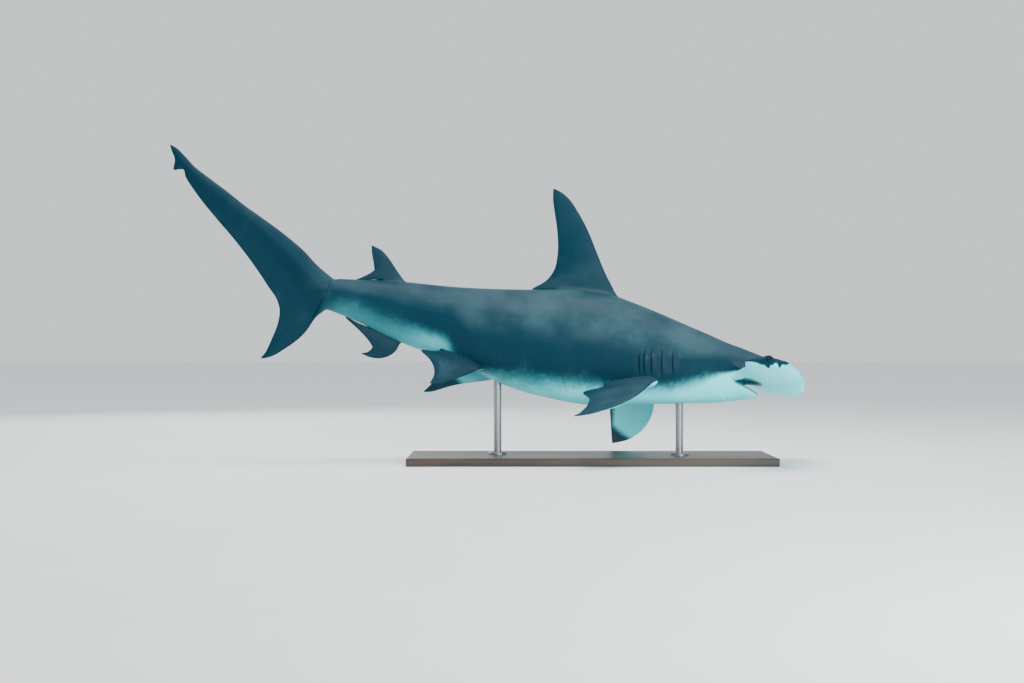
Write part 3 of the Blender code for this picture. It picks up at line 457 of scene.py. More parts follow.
def head_distance(s, y, z):
    """The whole head: wing, skull and jaw joined softly, then lips and lids, then the openings."""
    a = np.abs(y)
    skull = soft_max(body_distance(s, y, z), 0.03 - s, 0.03)
    d = soft_min(skull, wing_distance(s, y, z), 0.012 + 0.038 * step_up(z + 0.11 * s, -0.03, 0.02))
    throat = (s > 0.19) & (a < 0.16) & (z < 0.0)
    ts, ta, tz = s[throat], a[throat], z[throat]
    inner = soft_max(d[throat], -blob(ts, ta, tz, *CHEEK), 0.020)
    inner = soft_min(inner, jaw_distance(ts, ta, tz), 0.014)
    inner = soft_max(inner, -blob(ts, ta, tz, *PALATE), 0.008)
    inner = soft_max(inner, -blob(ts, ta, tz, *GULLET), 0.010)
    inner = soft_min(inner, lip_distance(ts, ta, tz, upper_lip, 0.0045), 0.007)
    inner = soft_min(inner, lip_distance(ts, ta, tz, lower_lip, 0.0040), 0.007)
    (fold_s, fold_z), run, drop, width = FOLD
    along = np.clip((ts - fold_s) / run, 0, 1)
    fold = np.hypot(ts - fold_s - run * along, tz - fold_z + drop * along)
    d[throat] = inner + 0.0028 * (1 - along) * np.exp(-(fold / width) ** 2) * step_up(ta, 0.08, 0.10)
    end = a > 0.34
    es, ea, ez = s[end], a[end], z[end]
    lid = np.sqrt((np.hypot(es - EYE_PLACE[0], ez - EYE_PLACE[2]) - LID_RADIUS) ** 2
                  + (ea - LID_REACH) ** 2) - LID_THICKNESS
    outer = soft_min(d[end], lid, 0.014)
    outer = soft_max(outer, -blob(es, ea, ez, EYE_PLACE, [SOCKET_RADIUS] * 3), 0.002)
    outer = soft_min(outer, rod_distance(es, ea, ez, *NOSTRIL_FLAP), 0.010)
    d[end] = soft_max(outer, -rod_distance(es, ea, ez, *NOSTRIL_SLOT), 0.004)
    return d


def field_slope(distance, p, f, h):
    """Slope of a field at points p, where it is f: its change over a short step h along each axis."""
    return np.stack([(distance(*np.moveaxis(p + h * axis, -1, 0)) - f) / h for axis in np.eye(3)], -1)


def settle(points, distance, rounds=4, limit=0.003):
    """Slide points along the field's slope onto its zero surface: p - f grad f / |grad f|^2."""
    p = points.copy()
    for _ in range(rounds):
        f = distance(p[:, 0], p[:, 1], p[:, 2])
        grad = field_slope(distance, p, f, 4e-4)
        move = grad * (f / np.maximum((grad ** 2).sum(1), 0.04))[:, None]
        size = np.linalg.norm(move, axis=1)[:, None]
        p -= move * np.minimum(1, limit / np.maximum(size, 1e-9))
    return p


def wrap(distance, s, y, z):
    """Surface nets: one point in each grid cell that the surface crosses, and one four-sided face
    round each grid edge that it crosses. Returns points, faces and each point's cell."""
    gs, gy, gz = np.meshgrid(s, y, z, indexing="ij")
    f = distance(gs.ravel(), gy.ravel(), gz.ravel()).reshape(gs.shape)
    inside = f < 0
    ns, ny, nz = f.shape
    corner = np.zeros((ns - 1, ny - 1, nz - 1), int)
    for i in (0, 1):
        for j in (0, 1):
            for k in (0, 1):
                corner += inside[i:ns - 1 + i, j:ny - 1 + j, k:nz - 1 + k]
    cells = np.argwhere((corner > 0) & (corner < 8))
    number = np.full(corner.shape, -1)
    number[tuple(cells.T)] = np.arange(len(cells))
    total = np.zeros((len(cells), 3))
    weight = np.zeros(len(cells))
    axes = (s, y, z)
    faces = []
    for axis in range(3):
        lo = [slice(None)] * 3
        hi = [slice(None)] * 3
        lo[axis] = slice(None, -1)
        hi[axis] = slice(1, None)
        cross = inside[tuple(lo)] != inside[tuple(hi)]
        at = np.argwhere(cross)
        a = f[tuple(lo)][cross]
        b = f[tuple(hi)][cross]
        t = a / (a - b)
        place = np.stack([axes[k][at[:, k]] for k in range(3)], 1)
        place[:, axis] += t * (axes[axis][at[:, axis] + 1] - axes[axis][at[:, axis]])
        one, two = [k for k in range(3) if k != axis]
        ring = []
        for d1, d2 in ((-1, -1), (0, -1), (0, 0), (-1, 0)):
            cell = at.copy()
            cell[:, one] += d1
            cell[:, two] += d2
            ok = ((cell >= 0) & (cell < np.array(corner.shape))).all(1)
            index = np.full(len(at), -1)
            index[ok] = number[tuple(cell[ok].T)]
            good = index >= 0
            np.add.at(total, index[good], place[good])
            np.add.at(weight, index[good], 1)
            ring.append(index)
        ring = np.stack(ring, 1)
        turn = inside[tuple(lo)][cross] ^ (axis == 1)
        ring = np.where(turn[:, None], ring[:, ::-1], ring)
        faces.append(ring[(ring >= 0).all(1)])
    return total / weight[:, None], np.concatenate(faces), cells


def relax(points, faces, still, distance, rounds=3):
    """Even out the net: move each point halfway to its neighbours' mean, then back to the surface."""
    a = faces.ravel()
    b = np.roll(faces, 1, axis=1).ravel()
    free = ~still
    for _ in range(rounds):
        total = np.zeros_like(points)
        count = np.zeros(len(points))
        for p, q in ((a, b), (b, a)):
            np.add.at(total, p, points[q])
            np.add.at(count, p, 1)
        mean = total / count[:, None]
        points[free] += 0.5 * (mean[free] - points[free])
        points[free] = settle(points[free], distance, 1)
    return points


def zip_rings(first, first_turn, second, second_turn):
    """Triangles between two closed rings of points, taken in order of their turn round the body."""
    order = np.argsort(first_turn)
    a, ta = first[order], first_turn[order]
    order = np.argsort(second_turn)
    b, tb = second[order], second_turn[order]
    whole = 2 * math.pi
    next_a = np.append(ta[1:], ta[0] + whole)
    next_b = np.append(tb[1:], tb[0] + whole)
    long_a = np.concatenate([ta - whole, ta, ta + whole])
    long_b = np.concatenate([tb - whole, tb, tb + whole])
    side_b = b[(np.searchsorted(long_b, next_a, side="left") - 1) % len(b)]
    side_a = a[(np.searchsorted(long_a, next_b, side="right") - 1) % len(a)]
    return np.concatenate([np.stack([a, np.roll(a, -1), side_b], 1),
                           np.stack([np.roll(b, -1), b, side_a], 1)])


def gill_starts():
    """Where each slit's line, which leans back as it rises, meets the gills' foot line."""
    table = np.array(GILLS)
    return table[:, 0] - GILL_LEAN * (table[:, 1] - GILL_FOOT)


def trunk_places():
    """Places of the trunk's rings, close together where each gill slit opens."""
    near = np.array((-0.012, -0.008, -0.005, -0.003, -0.0016, -0.0006, 0.0006, 0.0018, 0.0035, 0.006,
                     0.009, 0.013))
    fine = (gill_starts()[:, None] + near).ravel()
    coarse = np.concatenate([np.arange(HEAD_END + 0.006, 0.588, 0.010), np.arange(0.588, 0.80, 0.008),
                             np.arange(0.805, 2.395, 0.013), [2.395]])
    gap = np.abs(coarse[:, None] - fine[None, :]).min(1)
    return np.sort(np.concatenate([fine, coarse[gap > 0.004]]))


def gill_shift(u, z):
    """How far back a ring leans where it follows the gill slits: a straight slope in z, faded out
    ahead of the first slit and behind the last."""
    rise = np.clip(z - GILL_FOOT, -0.03, 0.16)
    return GILL_LEAN * rise * step_up(u, 0.50, 0.59) * step_up(-u, -1.05, -0.81)


def gill_relief(u, z):
    """Depth of the skin at the gills: each flap swells back to its free edge and the skin behind it
    lies in a groove that runs forward under the flap. Returns depth inwards and slide forwards."""
    deep = np.zeros_like(u * z)
    slide = np.zeros_like(deep)
    starts = gill_starts()
    for i, (place, low, high) in enumerate(GILLS):
        window = step_up(z, low - 0.010, low + 0.030) * step_up(-z, -high - 0.006, -high + 0.014)
        room = np.append(np.diff(starts), 0.036)[i]
        d = u - starts[i]
        swell = 0.0042 * step_up(d, -0.034, -0.002) * (d < 0)
        fall = 0.0085 * step_up(d, -0.0007, 0.0008) * (1 - step_up(d, 0.002, room * 0.60))
        deep += window * (fall - swell)
        slide += window * 0.0080 * step_up(d, -0.0007, 0.0007) * (1 - step_up(d, 0.001, 0.014))
    return deep, slide


def trunk_rings(turn):
    """Rings of the trunk from behind the head to the root of the tail."""
    u = trunk_places()[:, None] * np.ones_like(turn)[None, :]
    y, z = body_ring(u, turn[None, :])
    s = u + gill_shift(u, z)
    y, z = body_ring(s, turn[None, :])
    s = u + gill_shift(u, z)
    deep, slide = gill_relief(u, z)
    pit = 0.005 * np.exp(-((s - 2.385) / 0.014) ** 2) * np.clip(np.cos(turn), 0, 1)[None, :] ** 4
    reach = np.maximum(np.hypot(y, z), 1e-6)
    y2 = y * (1 - deep / reach)
    z2 = z - z / reach * deep - pit
    return np.stack([s - slide, y2, z2], -1)


def edge_depth(s, z, outline):
    """Distance of each point from an outline of many short straight pieces."""
    a, b = outline[:-1], outline[1:]
    run = b - a
    p = np.stack([s.ravel(), z.ravel()], 1)[:, None] - a[None]
    t = np.clip((p * run).sum(-1) / np.maximum((run ** 2).sum(-1), 1e-12), 0, 1)
    return np.linalg.norm(p - run * t[..., None], axis=-1).min(1).reshape(s.shape)


def tail_lower_edge(rows):
    """Points of the tail's lower and rear edge at the given rows."""
    return np.stack([follow(TAIL_LOWER, rows, k) for k in (1, 2)], 1)


def tail_rings(turn):
    """Rings of the tail fin, each a flat section between the upper edge and the lower or rear edge.

    The half thickness is a thin blade plus a ridge exp(-(d / w)^2) along the backbone's line, both
    rounded off towards the outline. At its root the section turns into the trunk's oval."""
    rows = np.unique(np.concatenate([np.linspace(0, 1, 75)[1:], np.linspace(0.004, 0.24, 40)]))
    late = rows * (ROW_START + (1 - ROW_START) * step_up(rows, *ROW_CATCH_UP))
    upper, lower = resample(TAIL_TOP, late), tail_lower_edge(rows)
    v = (1 - np.cos(turn)) / 2
    grid = upper[:, None] * (1 - v[None, :, None]) + lower[:, None] * v[None, :, None]
    s, z = grid[..., 0], grid[..., 1]
    places = column(TAIL_AXIS, 0)
    slope = smooth(s, places, np.gradient(column(TAIL_AXIS, 1), places))
    away = (z - follow(TAIL_AXIS, s)) / np.sqrt(1 + slope ** 2)
    ridge = follow(TAIL_AXIS, s, 2) * np.exp(-(away / follow(TAIL_AXIS, s, 3)) ** 2)
    fine = np.linspace(0, 1, 260)
    depth = np.minimum(edge_depth(s, z, resample(TAIL_TOP, fine)), edge_depth(s, z, tail_lower_edge(fine)))
    round_edge = np.sqrt(np.clip(1 - (1 - np.clip(depth / TAIL_EDGE_ROUNDING, 0, 1)) ** 2, 0, 1))
    blade = 0.0045 + 0.0065 * step_up(depth, 0, 0.10)
    oval = TAIL_ROOT_HALF_WIDTH * np.sqrt(np.clip(1 - (2 * v - 1) ** 2, 0, 1))[None, :]
    root = (1 - step_up(rows, 0.0, 0.055))[:, None] * np.ones_like(s)
    half = (blade + ridge) * round_edge * (1 - root) + oval * root
    side = np.where(turn <= math.pi, 1.0, -1.0)[None, :]
    return np.stack([s, half * side, z], -1)


def mesh_object(name, points, faces, finish, marks):
    """Make a smooth-shaded closed mesh in the pose, with the straight place and the markings of each
    point kept as attributes, and all faces turned outwards."""
    mesh = bpy.data.meshes.new(name)
    mesh.from_pydata(pose(points).tolist(), [], [list(dict.fromkeys(f)) for f in faces])
    mesh.materials.append(bpy.data.materials[finish])
    mark = mesh.attributes.new("body_place", "FLOAT_VECTOR", "POINT")
    mark.data.foreach_set("vector", np.asarray(points, np.float32).ravel())
    for key, value in marks.items():
        mark = mesh.attributes.new(key, "FLOAT", "POINT")
        mark.data.foreach_set("value", np.broadcast_to(value, len(points)).astype(np.float32))
    work = bmesh.new()
    work.from_mesh(mesh)
    bmesh.ops.recalc_face_normals(work, faces=work.faces)
    if work.calc_volume(signed=True) < 0:
        bmesh.ops.reverse_faces(work, faces=work.faces)
    work.to_mesh(mesh)
    work.free()
    mesh.shade_smooth()
    made = bpy.data.objects.new(name, mesh)
    bpy.context.scene.collection.objects.link(made)
    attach(made, "root")
    return made


def grid_faces(rows, columns, start=0):
    """Four-sided faces between neighbouring closed rings of a grid."""
    i = np.arange(rows - 1)[:, None] * columns
    j = np.arange(columns)[None, :]
    k = (j + 1) % columns
    return (np.stack([i + j, i + k, i + columns + k, i + columns + j], -1) + start).reshape(-1, 4)


def skin_net(cell):
    """Points and faces of the whole skin: the head's net, the trunk's and the tail's rings."""
    s = np.arange(HEAD_END, -0.012, -cell)[::-1]
    y = np.linspace(-0.4545, 0.4545, int(0.909 / cell) + 1)
    z = np.arange(-0.196, 0.136, cell)
    straight = HEAD_END - 1.6 * cell

    def held_head(a, b, c):
        """The head with its rear end drawn out straight, so that the net ends in a clean rim."""
        return head_distance(np.minimum(a, straight), b, c)

    def rim_section(a, b, c):
        """The trunk's section where the head ends."""
        return body_distance(np.full_like(a, HEAD_END), b, c)

    points, faces, cells = wrap(held_head, s, y, z)
    rim = cells[:, 0] == cells[:, 0].max()
    points = settle(points, head_distance, 6)
    points = relax(points, faces, rim, head_distance)
    points[rim, 0] = HEAD_END
    points[rim] = settle(points[rim], rim_section, 6)
    points[rim, 0] = HEAD_END
    turn = np.arange(TRUNK_SIDES) / TRUNK_SIDES * 2 * math.pi
    rings = np.concatenate([trunk_rings(turn), tail_rings(turn)])
    start = len(points)
    tube = grid_faces(len(rings), len(turn), start)
    rim_index = np.nonzero(rim)[0]
    first = rings[0]
    rim_turn = np.arctan2(points[rim, 1], points[rim, 2] + 0.03) % (2 * math.pi)
    ring_turn = np.arctan2(first[:, 1], first[:, 2] + 0.03) % (2 * math.pi)
    seam = zip_rings(rim_index, rim_turn, start + np.arange(len(turn)), ring_turn)
    tip = start + len(rings) * TRUNK_SIDES
    end_ring = tip - TRUNK_SIDES + np.arange(TRUNK_SIDES)
    cap = np.stack([np.full(TRUNK_SIDES, tip), end_ring, np.roll(end_ring, -1)], 1)
    points = np.concatenate([points, rings.reshape(-1, 3), rings[-1].mean(0)[None]])
    return points, list(faces) + list(tube) + list(seam) + list(cap)


def capped_rings(rings):
    """Points and faces of a grid of closed rings with a fan over each end."""
    rows, columns = rings.shape[:2]
    points = np.concatenate([rings.reshape(-1, 3), rings[0].mean(0)[None], rings[-1].mean(0)[None]])
    k = np.arange(columns)
    n = (k + 1) % columns
    far = (rows - 1) * columns
    start = np.stack([np.full(columns, rows * columns), n, k], 1)
    end = np.stack([np.full(columns, rows * columns + 1), far + k, far + n], 1)
    return points, grid_faces(rows, columns).tolist() + start.tolist() + end.tolist()


def foil(x):
    """Streamlined half thickness along a chord, 1 at its thickest, closed at both ends."""
    x = np.clip(x, 0.0, 1.0)
    y = 1.4845 * np.sqrt(x) - 0.63 * x - 1.758 * x ** 2 + 1.4215 * x ** 3 - 0.518 * x ** 4
    return 2.0 * np.clip(y, 0.0, None)


def upright(grid, half):
    """Blade standing on the middle line."""
    return np.stack([grid[..., 0], half, grid[..., 1]], -1)


def side_blade(root, droop, sweep, tilt, bend, size, side):
    """Blade reaching out and down from one flank, curving down a little towards its tip."""
    droop, sweep, tilt = (math.radians(x) for x in (droop, sweep, tilt))

    def to_body(grid, half):
        """Carry the fin's own (back, out) grid, half thick on this side, to the body's frame."""
        a = grid[..., 0] * size
        b = grid[..., 1] * size
        back = a * math.cos(sweep) + b * math.sin(sweep)
        out = b * math.cos(sweep)
        rise = bend * np.clip(b, 0, None) ** 2
        y = root[1] + out * math.cos(droop) - half * math.sin(droop)
        z = root[2] - out * math.sin(droop) - a * math.sin(tilt) - half * math.cos(droop) + rise
        return np.stack([root[0] + back, side * y, z], -1)

    return to_body


def fin_surface(front, rear, thickness, to_body, fillet, free_from, rows, columns):
    """A fin as closed rings round its chord, from inside the body to its tip.

    Each ring runs along the chord at v = (1 - cos a) / 2 and back, with a streamlined half thickness.
    Within a fillet's radius r of the body, at height h, the ring grows by
    r (1 - sqrt(1 - (1 - h / r)^2)) square to its own outline, and its points are then put back at
    the height they had, so the fin flows into the curve of the flank. Past the place where the rear
    lobe is free, the fin stays thin. Returns rings, chord place, row place and side."""
    dense = np.linspace(0, 0.30, rows // 2)
    u = np.concatenate([dense, np.linspace(0.30, 1, rows - rows // 2 + 1)[1:]])
    turn = np.arange(columns) / columns * 2 * math.pi
    v = (1 - np.cos(turn)) / 2
    edge_a, edge_b = resample(front, u), resample(rear, u)
    grid = edge_a[:, None] * (1 - v[None, :, None]) + edge_b[:, None] * v[None, :, None]
    side = np.where(turn <= math.pi, 1.0, -1.0)[None, :]
    full = thickness(u)[:, None]
    chord = np.linalg.norm(edge_b - edge_a, axis=1)[:, None]
    section = full * foil(v)[None, :]
    edge = 0.0014 * np.sqrt(np.clip(v * (1 - v) * 4, 0, 1))[None, :] ** 0.5
    half = np.maximum(section * np.ones_like(chord), edge)
    middle = to_body(grid, np.zeros_like(half))
    height = body_distance(*np.moveaxis(middle, -1, 0))
    r = fillet
    rise = np.clip(height / r, 0, 1)
    grow = r * (1 - np.sqrt(np.clip(1 - (1 - rise) ** 2, 0, 1)))
    held = 1 - step_up(grid[..., 0], free_from[0], free_from[1])
    grow = grow * held * 0.9
    along = np.gradient(v * chord, axis=1)
    across = np.gradient(half * side, axis=1)
    closing = np.hypot(along, across) + 1e-9
    out_x, out_n = -across / closing, along / closing
    flip = np.where(out_n * side < 0, -1.0, 1.0)
    direction = (edge_b - edge_a)[:, None] / np.maximum(chord, 1e-6)[..., None]
    moved = grid + direction * (out_x * flip * grow)[..., None]
    rings = to_body(moved, half * side + out_n * flip * grow)
    weight = (held * (1 - step_up(height, r * 0.8, r * 1.6)))[..., None]
    goal = np.where(height < 0, height - 0.002, height)
    for _ in range(4):
        f = body_distance(*np.moveaxis(rings, -1, 0))
        grad = field_slope(body_distance, rings, f, 5e-4)
        move = grad * ((f - goal) / np.maximum((grad ** 2).sum(-1), 0.1))[..., None]
        rings = rings - move * weight
    whole = np.ones_like(half)
    return rings, v[None, :] * whole, u[:, None] * whole, side * whole


def taper(root, tip):
    """Half thickness falling evenly from root to tip."""
    return lambda u: tip + (root - tip) * (1 - u)


def fin_piece(name, front, rear, thickness, to_body, fillet, free_from, marking):
    """Build one fin and give it its markings, worked out from chord place, row and side."""
    rings, v, u, side = fin_surface(front, rear, thickness, to_body, fillet, free_from, 96, 72)
    points, faces = capped_rings(rings)
    marks = {key: np.append(value.ravel(), [value.ravel()[0], value.ravel()[-1]])
             for key, value in marking(v, u, side).items()}
    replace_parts(mesh_object(name, points, faces, "shark_skin", marks), name)


def even_marks(v, pale_side=-4.0, pale_amount=0.0, mottle_and_highlight=0.0, dusk_and_shade=1.0):
    """Markings of a piece without a mouth, each a number or an array, spread over all its points."""
    given = {"pale_side": pale_side, "pale_amount": pale_amount, "mottle_and_highlight": mottle_and_highlight, "lining_and_shade": 0.0,
             "dusk_and_shade": dusk_and_shade}
    return {key: value + 0.0 * v for key, value in given.items()}


def middle_fin_marks(v, u, side):
    """Grey on both sides, darker towards the tip and along the rear edge."""
    return even_marks(v, dusk_and_shade=0.60 + 0.25 * step_up(u, 0.2, 0.5) + 0.15 * step_up(v, 0.70, 1.0))


def pectoral_marks(v, u, side):
    """Above: grey, lighter and mottled in the middle. Below: pale with a dark tip and rear band."""
    below = side > 0
    pale = np.minimum(np.minimum((0.80 - u) * 14, (0.90 - v) * 7), 3.0)
    middle = np.exp(-((v - 0.52) / 0.20) ** 2) * np.exp(-((u - 0.52) / 0.22) ** 2)
    return even_marks(v, np.where(below, pale, -4.0), 0.95, np.where(below, 0.0, 0.5 * middle),
                      np.where(below, 0.85, 0.60 + 0.35 * step_up(u, 0.75, 1.0)))


def pelvic_marks(v, u, side):
    """Above: grey with a lighter mottled middle. Below: pale with a grey edge."""
    middle = np.exp(-((v - 0.5) / 0.25) ** 2) * np.exp(-((u - 0.6) / 0.25) ** 2)
    pale = np.minimum(np.minimum((0.45 - u) * 10, (0.8 - v) * 5), 3.0)
    return even_marks(v, np.where(side > 0, pale, -4.0), 0.4, middle * 0.6, 0.85)


def skin_marks(points):
    """Markings of head, trunk and tail at each point.

    pale_side is how far below the border of the pale underside a point lies, as a share of the
    border's soft half width, and pale_amount how strong the pale is there; dusk darkens, on the
    trunk as painted shade on the flanks below a top of the back kept lighter as painted light from
    above; mottle lightens in blotches, here as painted highlights on the upper ends of the gill
    flaps; lining marks the inside of the mouth, its colour darkened as painted shade in the hollow."""
    s, y, z = points.T
    a = np.abs(y)
    line, soft, amount = (follow(BORDER, s, k) for k in (1, 2, 3))
    top = body_size(s)[0]
    # Painted light from above: the top of the back keeps the lighter slate
    light = follow(PAINTED_TOP_LIGHT, s) * step_up((z - line) / (top - line), 0.36, 0.64)
    middle = wing_middle(s, y)
    end = step_up(a, 0.36, 0.42)
    rim = middle + (0.013 + 0.012 * step_up(-s, -0.09, -0.03)) * (1 - end) + follow(END_BORDER, s) * end
    wing = np.maximum(step_up(-s, -0.31, -0.26), step_up(a, 0.16, 0.20) * step_up(-s, -0.42, -0.36))
    side = (line - z) / soft * (1 - wing) + (rim - z) / 0.005 * wing
    dark_end = end * step_up(-s, -0.28, -0.22) * step_up(z - middle, -0.035, -0.012)
    # Painted shade: the trunk's flanks below the lit top of the back darken to the flank colour; the head
    # wing gets a fixed darker tone, darker still at its ends
    dusk_and_shade = (1 - light) * (1 - wing) + (0.60 + 0.40 * dark_end) * wing
    # Painted highlights on the upper ends of the gill flaps, just ahead of each slit
    gills = sum(np.exp(-((s - place + 0.018) / 0.012) ** 2 - ((z - high + 0.010) / 0.016) ** 2)
                for place, low, high in GILLS)
    # Inside of the mouth: the lining's colour, darkened as painted shade of the hollow
    mouth = np.where((s > 0.2) & (s < 0.40) & (a < 0.13) & (z < -0.03), mouth_depth(s, a, z), 0.0)
    return {"pale_side": side, "pale_amount": (amount * (1 - wing) + wing) * (1 - step_up(s, 2.33, 2.46)),
            "dusk_and_shade": np.clip(dusk_and_shade, 0, 1), "mottle_and_highlight": 0.45 * np.clip(gills, 0, 1), "lining_and_shade": mouth}


def mouth_depth(s, a, z):
    """1 inside the mouth and on the gum of the lower jaw, 0 on the lips and outside."""
    hollow = np.minimum(blob(s, a, z, *PALATE), blob(s, a, z, *GULLET))
    above = z - follow(JAW_RIM, s)
    gum = step_up(above, -0.009, -0.004) * step_up(-above, -0.012, -0.008) * step_up(-s, -0.325, -0.315)
    return np.maximum(step_up(-hollow, -0.006, -0.001), gum)


def eye_surface(side, rows=40, columns=48):
    """Eyeball as rings about the line that looks outwards, flattened a little, with a low bulge of
    the clear front: radius r at angle p from that line is R (1 + 0.05 exp(-(p / 0.5)^2))."""
    p = np.linspace(0.02, math.pi - 0.02, rows)[:, None]
    q = (np.arange(columns) / columns * 2 * math.pi)[None, :]
    r = EYE_RADIUS * (1 + 0.05 * np.exp(-(p / 0.5) ** 2))
    centre = np.array(EYE_PLACE) * (1, side, 1)
    out = np.stack([r * np.sin(p) * np.cos(q), side * r * np.cos(p) * 0.97 + 0 * q,
                    r * np.sin(p) * np.sin(q)], -1)
    points, faces = capped_rings(centre + out)
    local = points - centre
    return points, faces, {"eye_ring": np.hypot(local[:, 0], local[:, 2]) / EYE_RADIUS,
                           "eye_slit": local[:, 0] / EYE_RADIUS}


def lid_surface(side, columns=72, rows=16):
    """Rim of the eyelids, a ring of round section: R = major + minor cos(v), height minor sin(v)."""
    u = (np.arange(columns) / columns * 2 * math.pi)[:, None]
    v = (np.arange(rows) / rows * 2 * math.pi)[None, :]
    far = RIM_RADIUS + RIM_THICKNESS * np.cos(v)
    points = np.stack([EYE_PLACE[0] + far * np.cos(u),
                       side * (LID_REACH + RIM_THICKNESS * np.sin(v) + 0 * u),
                       EYE_PLACE[2] + far * np.sin(u)], -1).reshape(-1, 3)
    here = np.arange(columns * rows).reshape(columns, rows)
    ahead = np.roll(here, -1, axis=0)
    faces = np.stack([here, np.roll(here, -1, axis=1), np.roll(ahead, -1, axis=1), ahead], -1)
    return points, faces.reshape(-1, 4)[:, ::side]


def teeth(line, count, height, lean, direction, rows):
    """Triangular teeth along a lip, all in one set of arrays.

    Each tooth is a stack of flat-oval rings, from its root in the gum to its point: the rings shrink
    towards the point, the blade is a third as thick as wide, and the point leans towards the corner
    of the mouth. A second row of smaller teeth stands behind the first."""
    rings = []
    turn = np.arange(TOOTH_SIDES) / TOOTH_SIDES * 2 * math.pi
    for row in range(rows):
        t = np.linspace(0.03 + 0.01 * row, 0.82, count)
        for side in (-1, 1):
            s, a, z = line(t)
            ds, da = np.gradient(s), np.gradient(a)
            long = np.sqrt(ds ** 2 + da ** 2) + 1e-9
            along = np.stack([ds / long, side * da / long, 0 * s], 1)
            out = np.stack([-da / long, side * ds / long, 0 * s], 1)
            base = np.stack([s, side * a, z], 1) - out * (0.0025 + 0.006 * row)
            tall = height * (1 - 0.40 * t) * (1 - 0.30 * row) * (1 + 0.12 * np.sin(7.3 * np.arange(count)))
            wide = TOOTH_WIDTH * (1 - 0.3 * t)
            for level, scale in TOOTH_RINGS:
                up = tall * level
                centre = base + along * (lean * np.clip(up, 0, None) ** 1.5 / height ** 0.5)[:, None]
                centre = centre - out * (0.25 * np.clip(up, 0, None))[:, None]
                centre[:, 2] += direction * up
                ring = (centre[:, None]
                        + along[:, None] * (np.cos(turn)[None] * wide[:, None] * scale / 2)[..., None]
                        + out[:, None] * (np.sin(turn)[None] * wide[:, None] * scale / 6)[..., None])
                rings.append(ring)
    levels = len(TOOTH_RINGS)
    points = np.stack(rings).reshape(-1, levels, count, TOOTH_SIDES, 3).swapaxes(1, 2).reshape(-1, 3)
    size = levels * TOOTH_SIDES
    first = np.arange(0, len(points), size)[:, None]
    faces = (first[..., None] + grid_faces(levels, TOOTH_SIDES)[None]).reshape(-1, 4).tolist()
    ring = np.arange(TOOTH_SIDES)[None]
    return points, faces + (first + ring[:, ::-1]).tolist() + (first + size - TOOTH_SIDES + ring).tolist()


def wire(tree, source, target):
    """Join an output socket to an input socket."""
    tree.links.new(source, target)


def add_math(tree, operation, a, b=None, c=None):
    """Place a Math node; each input is a number or a socket."""
    node = tree.nodes.new("ShaderNodeMath")
    node.operation = operation
    for i, value in enumerate((a, b, c)):
        if value is None:
            continue
        if isinstance(value, (int, float)):
            node.inputs[i].default_value = value
        else:
            wire(tree, value, node.inputs[i])
    return node.outputs[0]


def add_noise(tree, place, scale, detail=4.0, rough=0.55, stretch=None):
    """Place a Noise texture, stretched along the body if asked for."""
    noise = tree.nodes.new("ShaderNodeTexNoise")
    noise.inputs["Scale"].default_value = scale
    noise.inputs["Detail"].default_value = detail
    noise.inputs["Roughness"].default_value = rough
    if stretch:
        mapping = tree.nodes.new("ShaderNodeMapping")
        mapping.inputs["Scale"].default_value = stretch
        wire(tree, place, mapping.inputs["Vector"])
        place = mapping.outputs["Vector"]
    wire(tree, place, noise.inputs["Vector"])
    return noise.outputs["Fac"]


def add_range(tree, value, low, high, to_low=0.0, to_high=1.0):
    """Place a smooth Map Range node."""
    node = tree.nodes.new("ShaderNodeMapRange")
    node.interpolation_type = "SMOOTHSTEP"
    wire(tree, value, node.inputs["Value"])
    for key, number in (("From Min", low), ("From Max", high), ("To Min", to_low), ("To Max", to_high)):
        node.inputs[key].default_value = number
    return node.outputs["Result"]


def add_mix(tree, amount, first, second, blend="MIX"):
    """Place a colour Mix node; colours are sockets or tuples."""
    node = tree.nodes.new("ShaderNodeMix")
    node.data_type = "RGBA"
    node.blend_type = blend
    for key, value in (("Factor", amount), ("A", first), ("B", second)):
        socket = [s for s in node.inputs if s.name == key and s.enabled][0]
        if isinstance(value, bpy.types.NodeSocket):
            wire(tree, value, socket)
        elif isinstance(value, (int, float)):
            socket.default_value = value
        else:
            socket.default_value = tuple(value)[:3] + (1.0,)
    return [s for s in node.outputs if s.enabled][0]


def attribute(tree, name, output="Fac"):
    """Read one of a piece's own attributes."""
    node = tree.nodes.new("ShaderNodeAttribute")
    node.attribute_name = name
    return node.outputs[output]


def make_group(name, inputs, outputs):
    """Start a shader node group with named sockets."""
    group = bpy.data.node_groups.new(name, "ShaderNodeTree")
    for label, kind, value in inputs:
        socket = group.interface.new_socket(label, in_out="INPUT", socket_type=kind)
        if value is not None:
            socket.default_value = value
    for label, kind in outputs:
        group.interface.new_socket(label, in_out="OUTPUT", socket_type=kind)
    return group, group.nodes.new("NodeGroupInput"), group.nodes.new("NodeGroupOutput")


def ragged_edge_group():
    """Mask of a ragged, blotchy border: the border's distance plus noise, read through a soft step."""
    group, given, result = make_group(
        "ragged_edge", [("Place", "NodeSocketVector", None), ("Border", "NodeSocketFloat", 0.0),
                        ("Raggedness", "NodeSocketFloat", 0.03), ("Softness", "NodeSocketFloat", 0.02)],
        [("Mask", "NodeSocketFloat")])
    place = given.outputs["Place"]
    broad = add_noise(group, place, 9.0, 5.0, 0.6)
    fine = add_noise(group, place, 60.0, 3.0, 0.6)
    both = add_math(group, "ADD", add_math(group, "MULTIPLY", broad, 1.4),
                    add_math(group, "MULTIPLY", fine, 0.6))
    shake = add_math(group, "MULTIPLY", add_math(group, "SUBTRACT", both, 1.0), given.outputs["Raggedness"])
    moved = add_math(group, "ADD", given.outputs["Border"], shake)
    ratio = add_math(group, "DIVIDE", moved, given.outputs["Softness"])
    wire(group, add_range(group, ratio, -1.0, 1.0), result.inputs["Mask"])
    return group


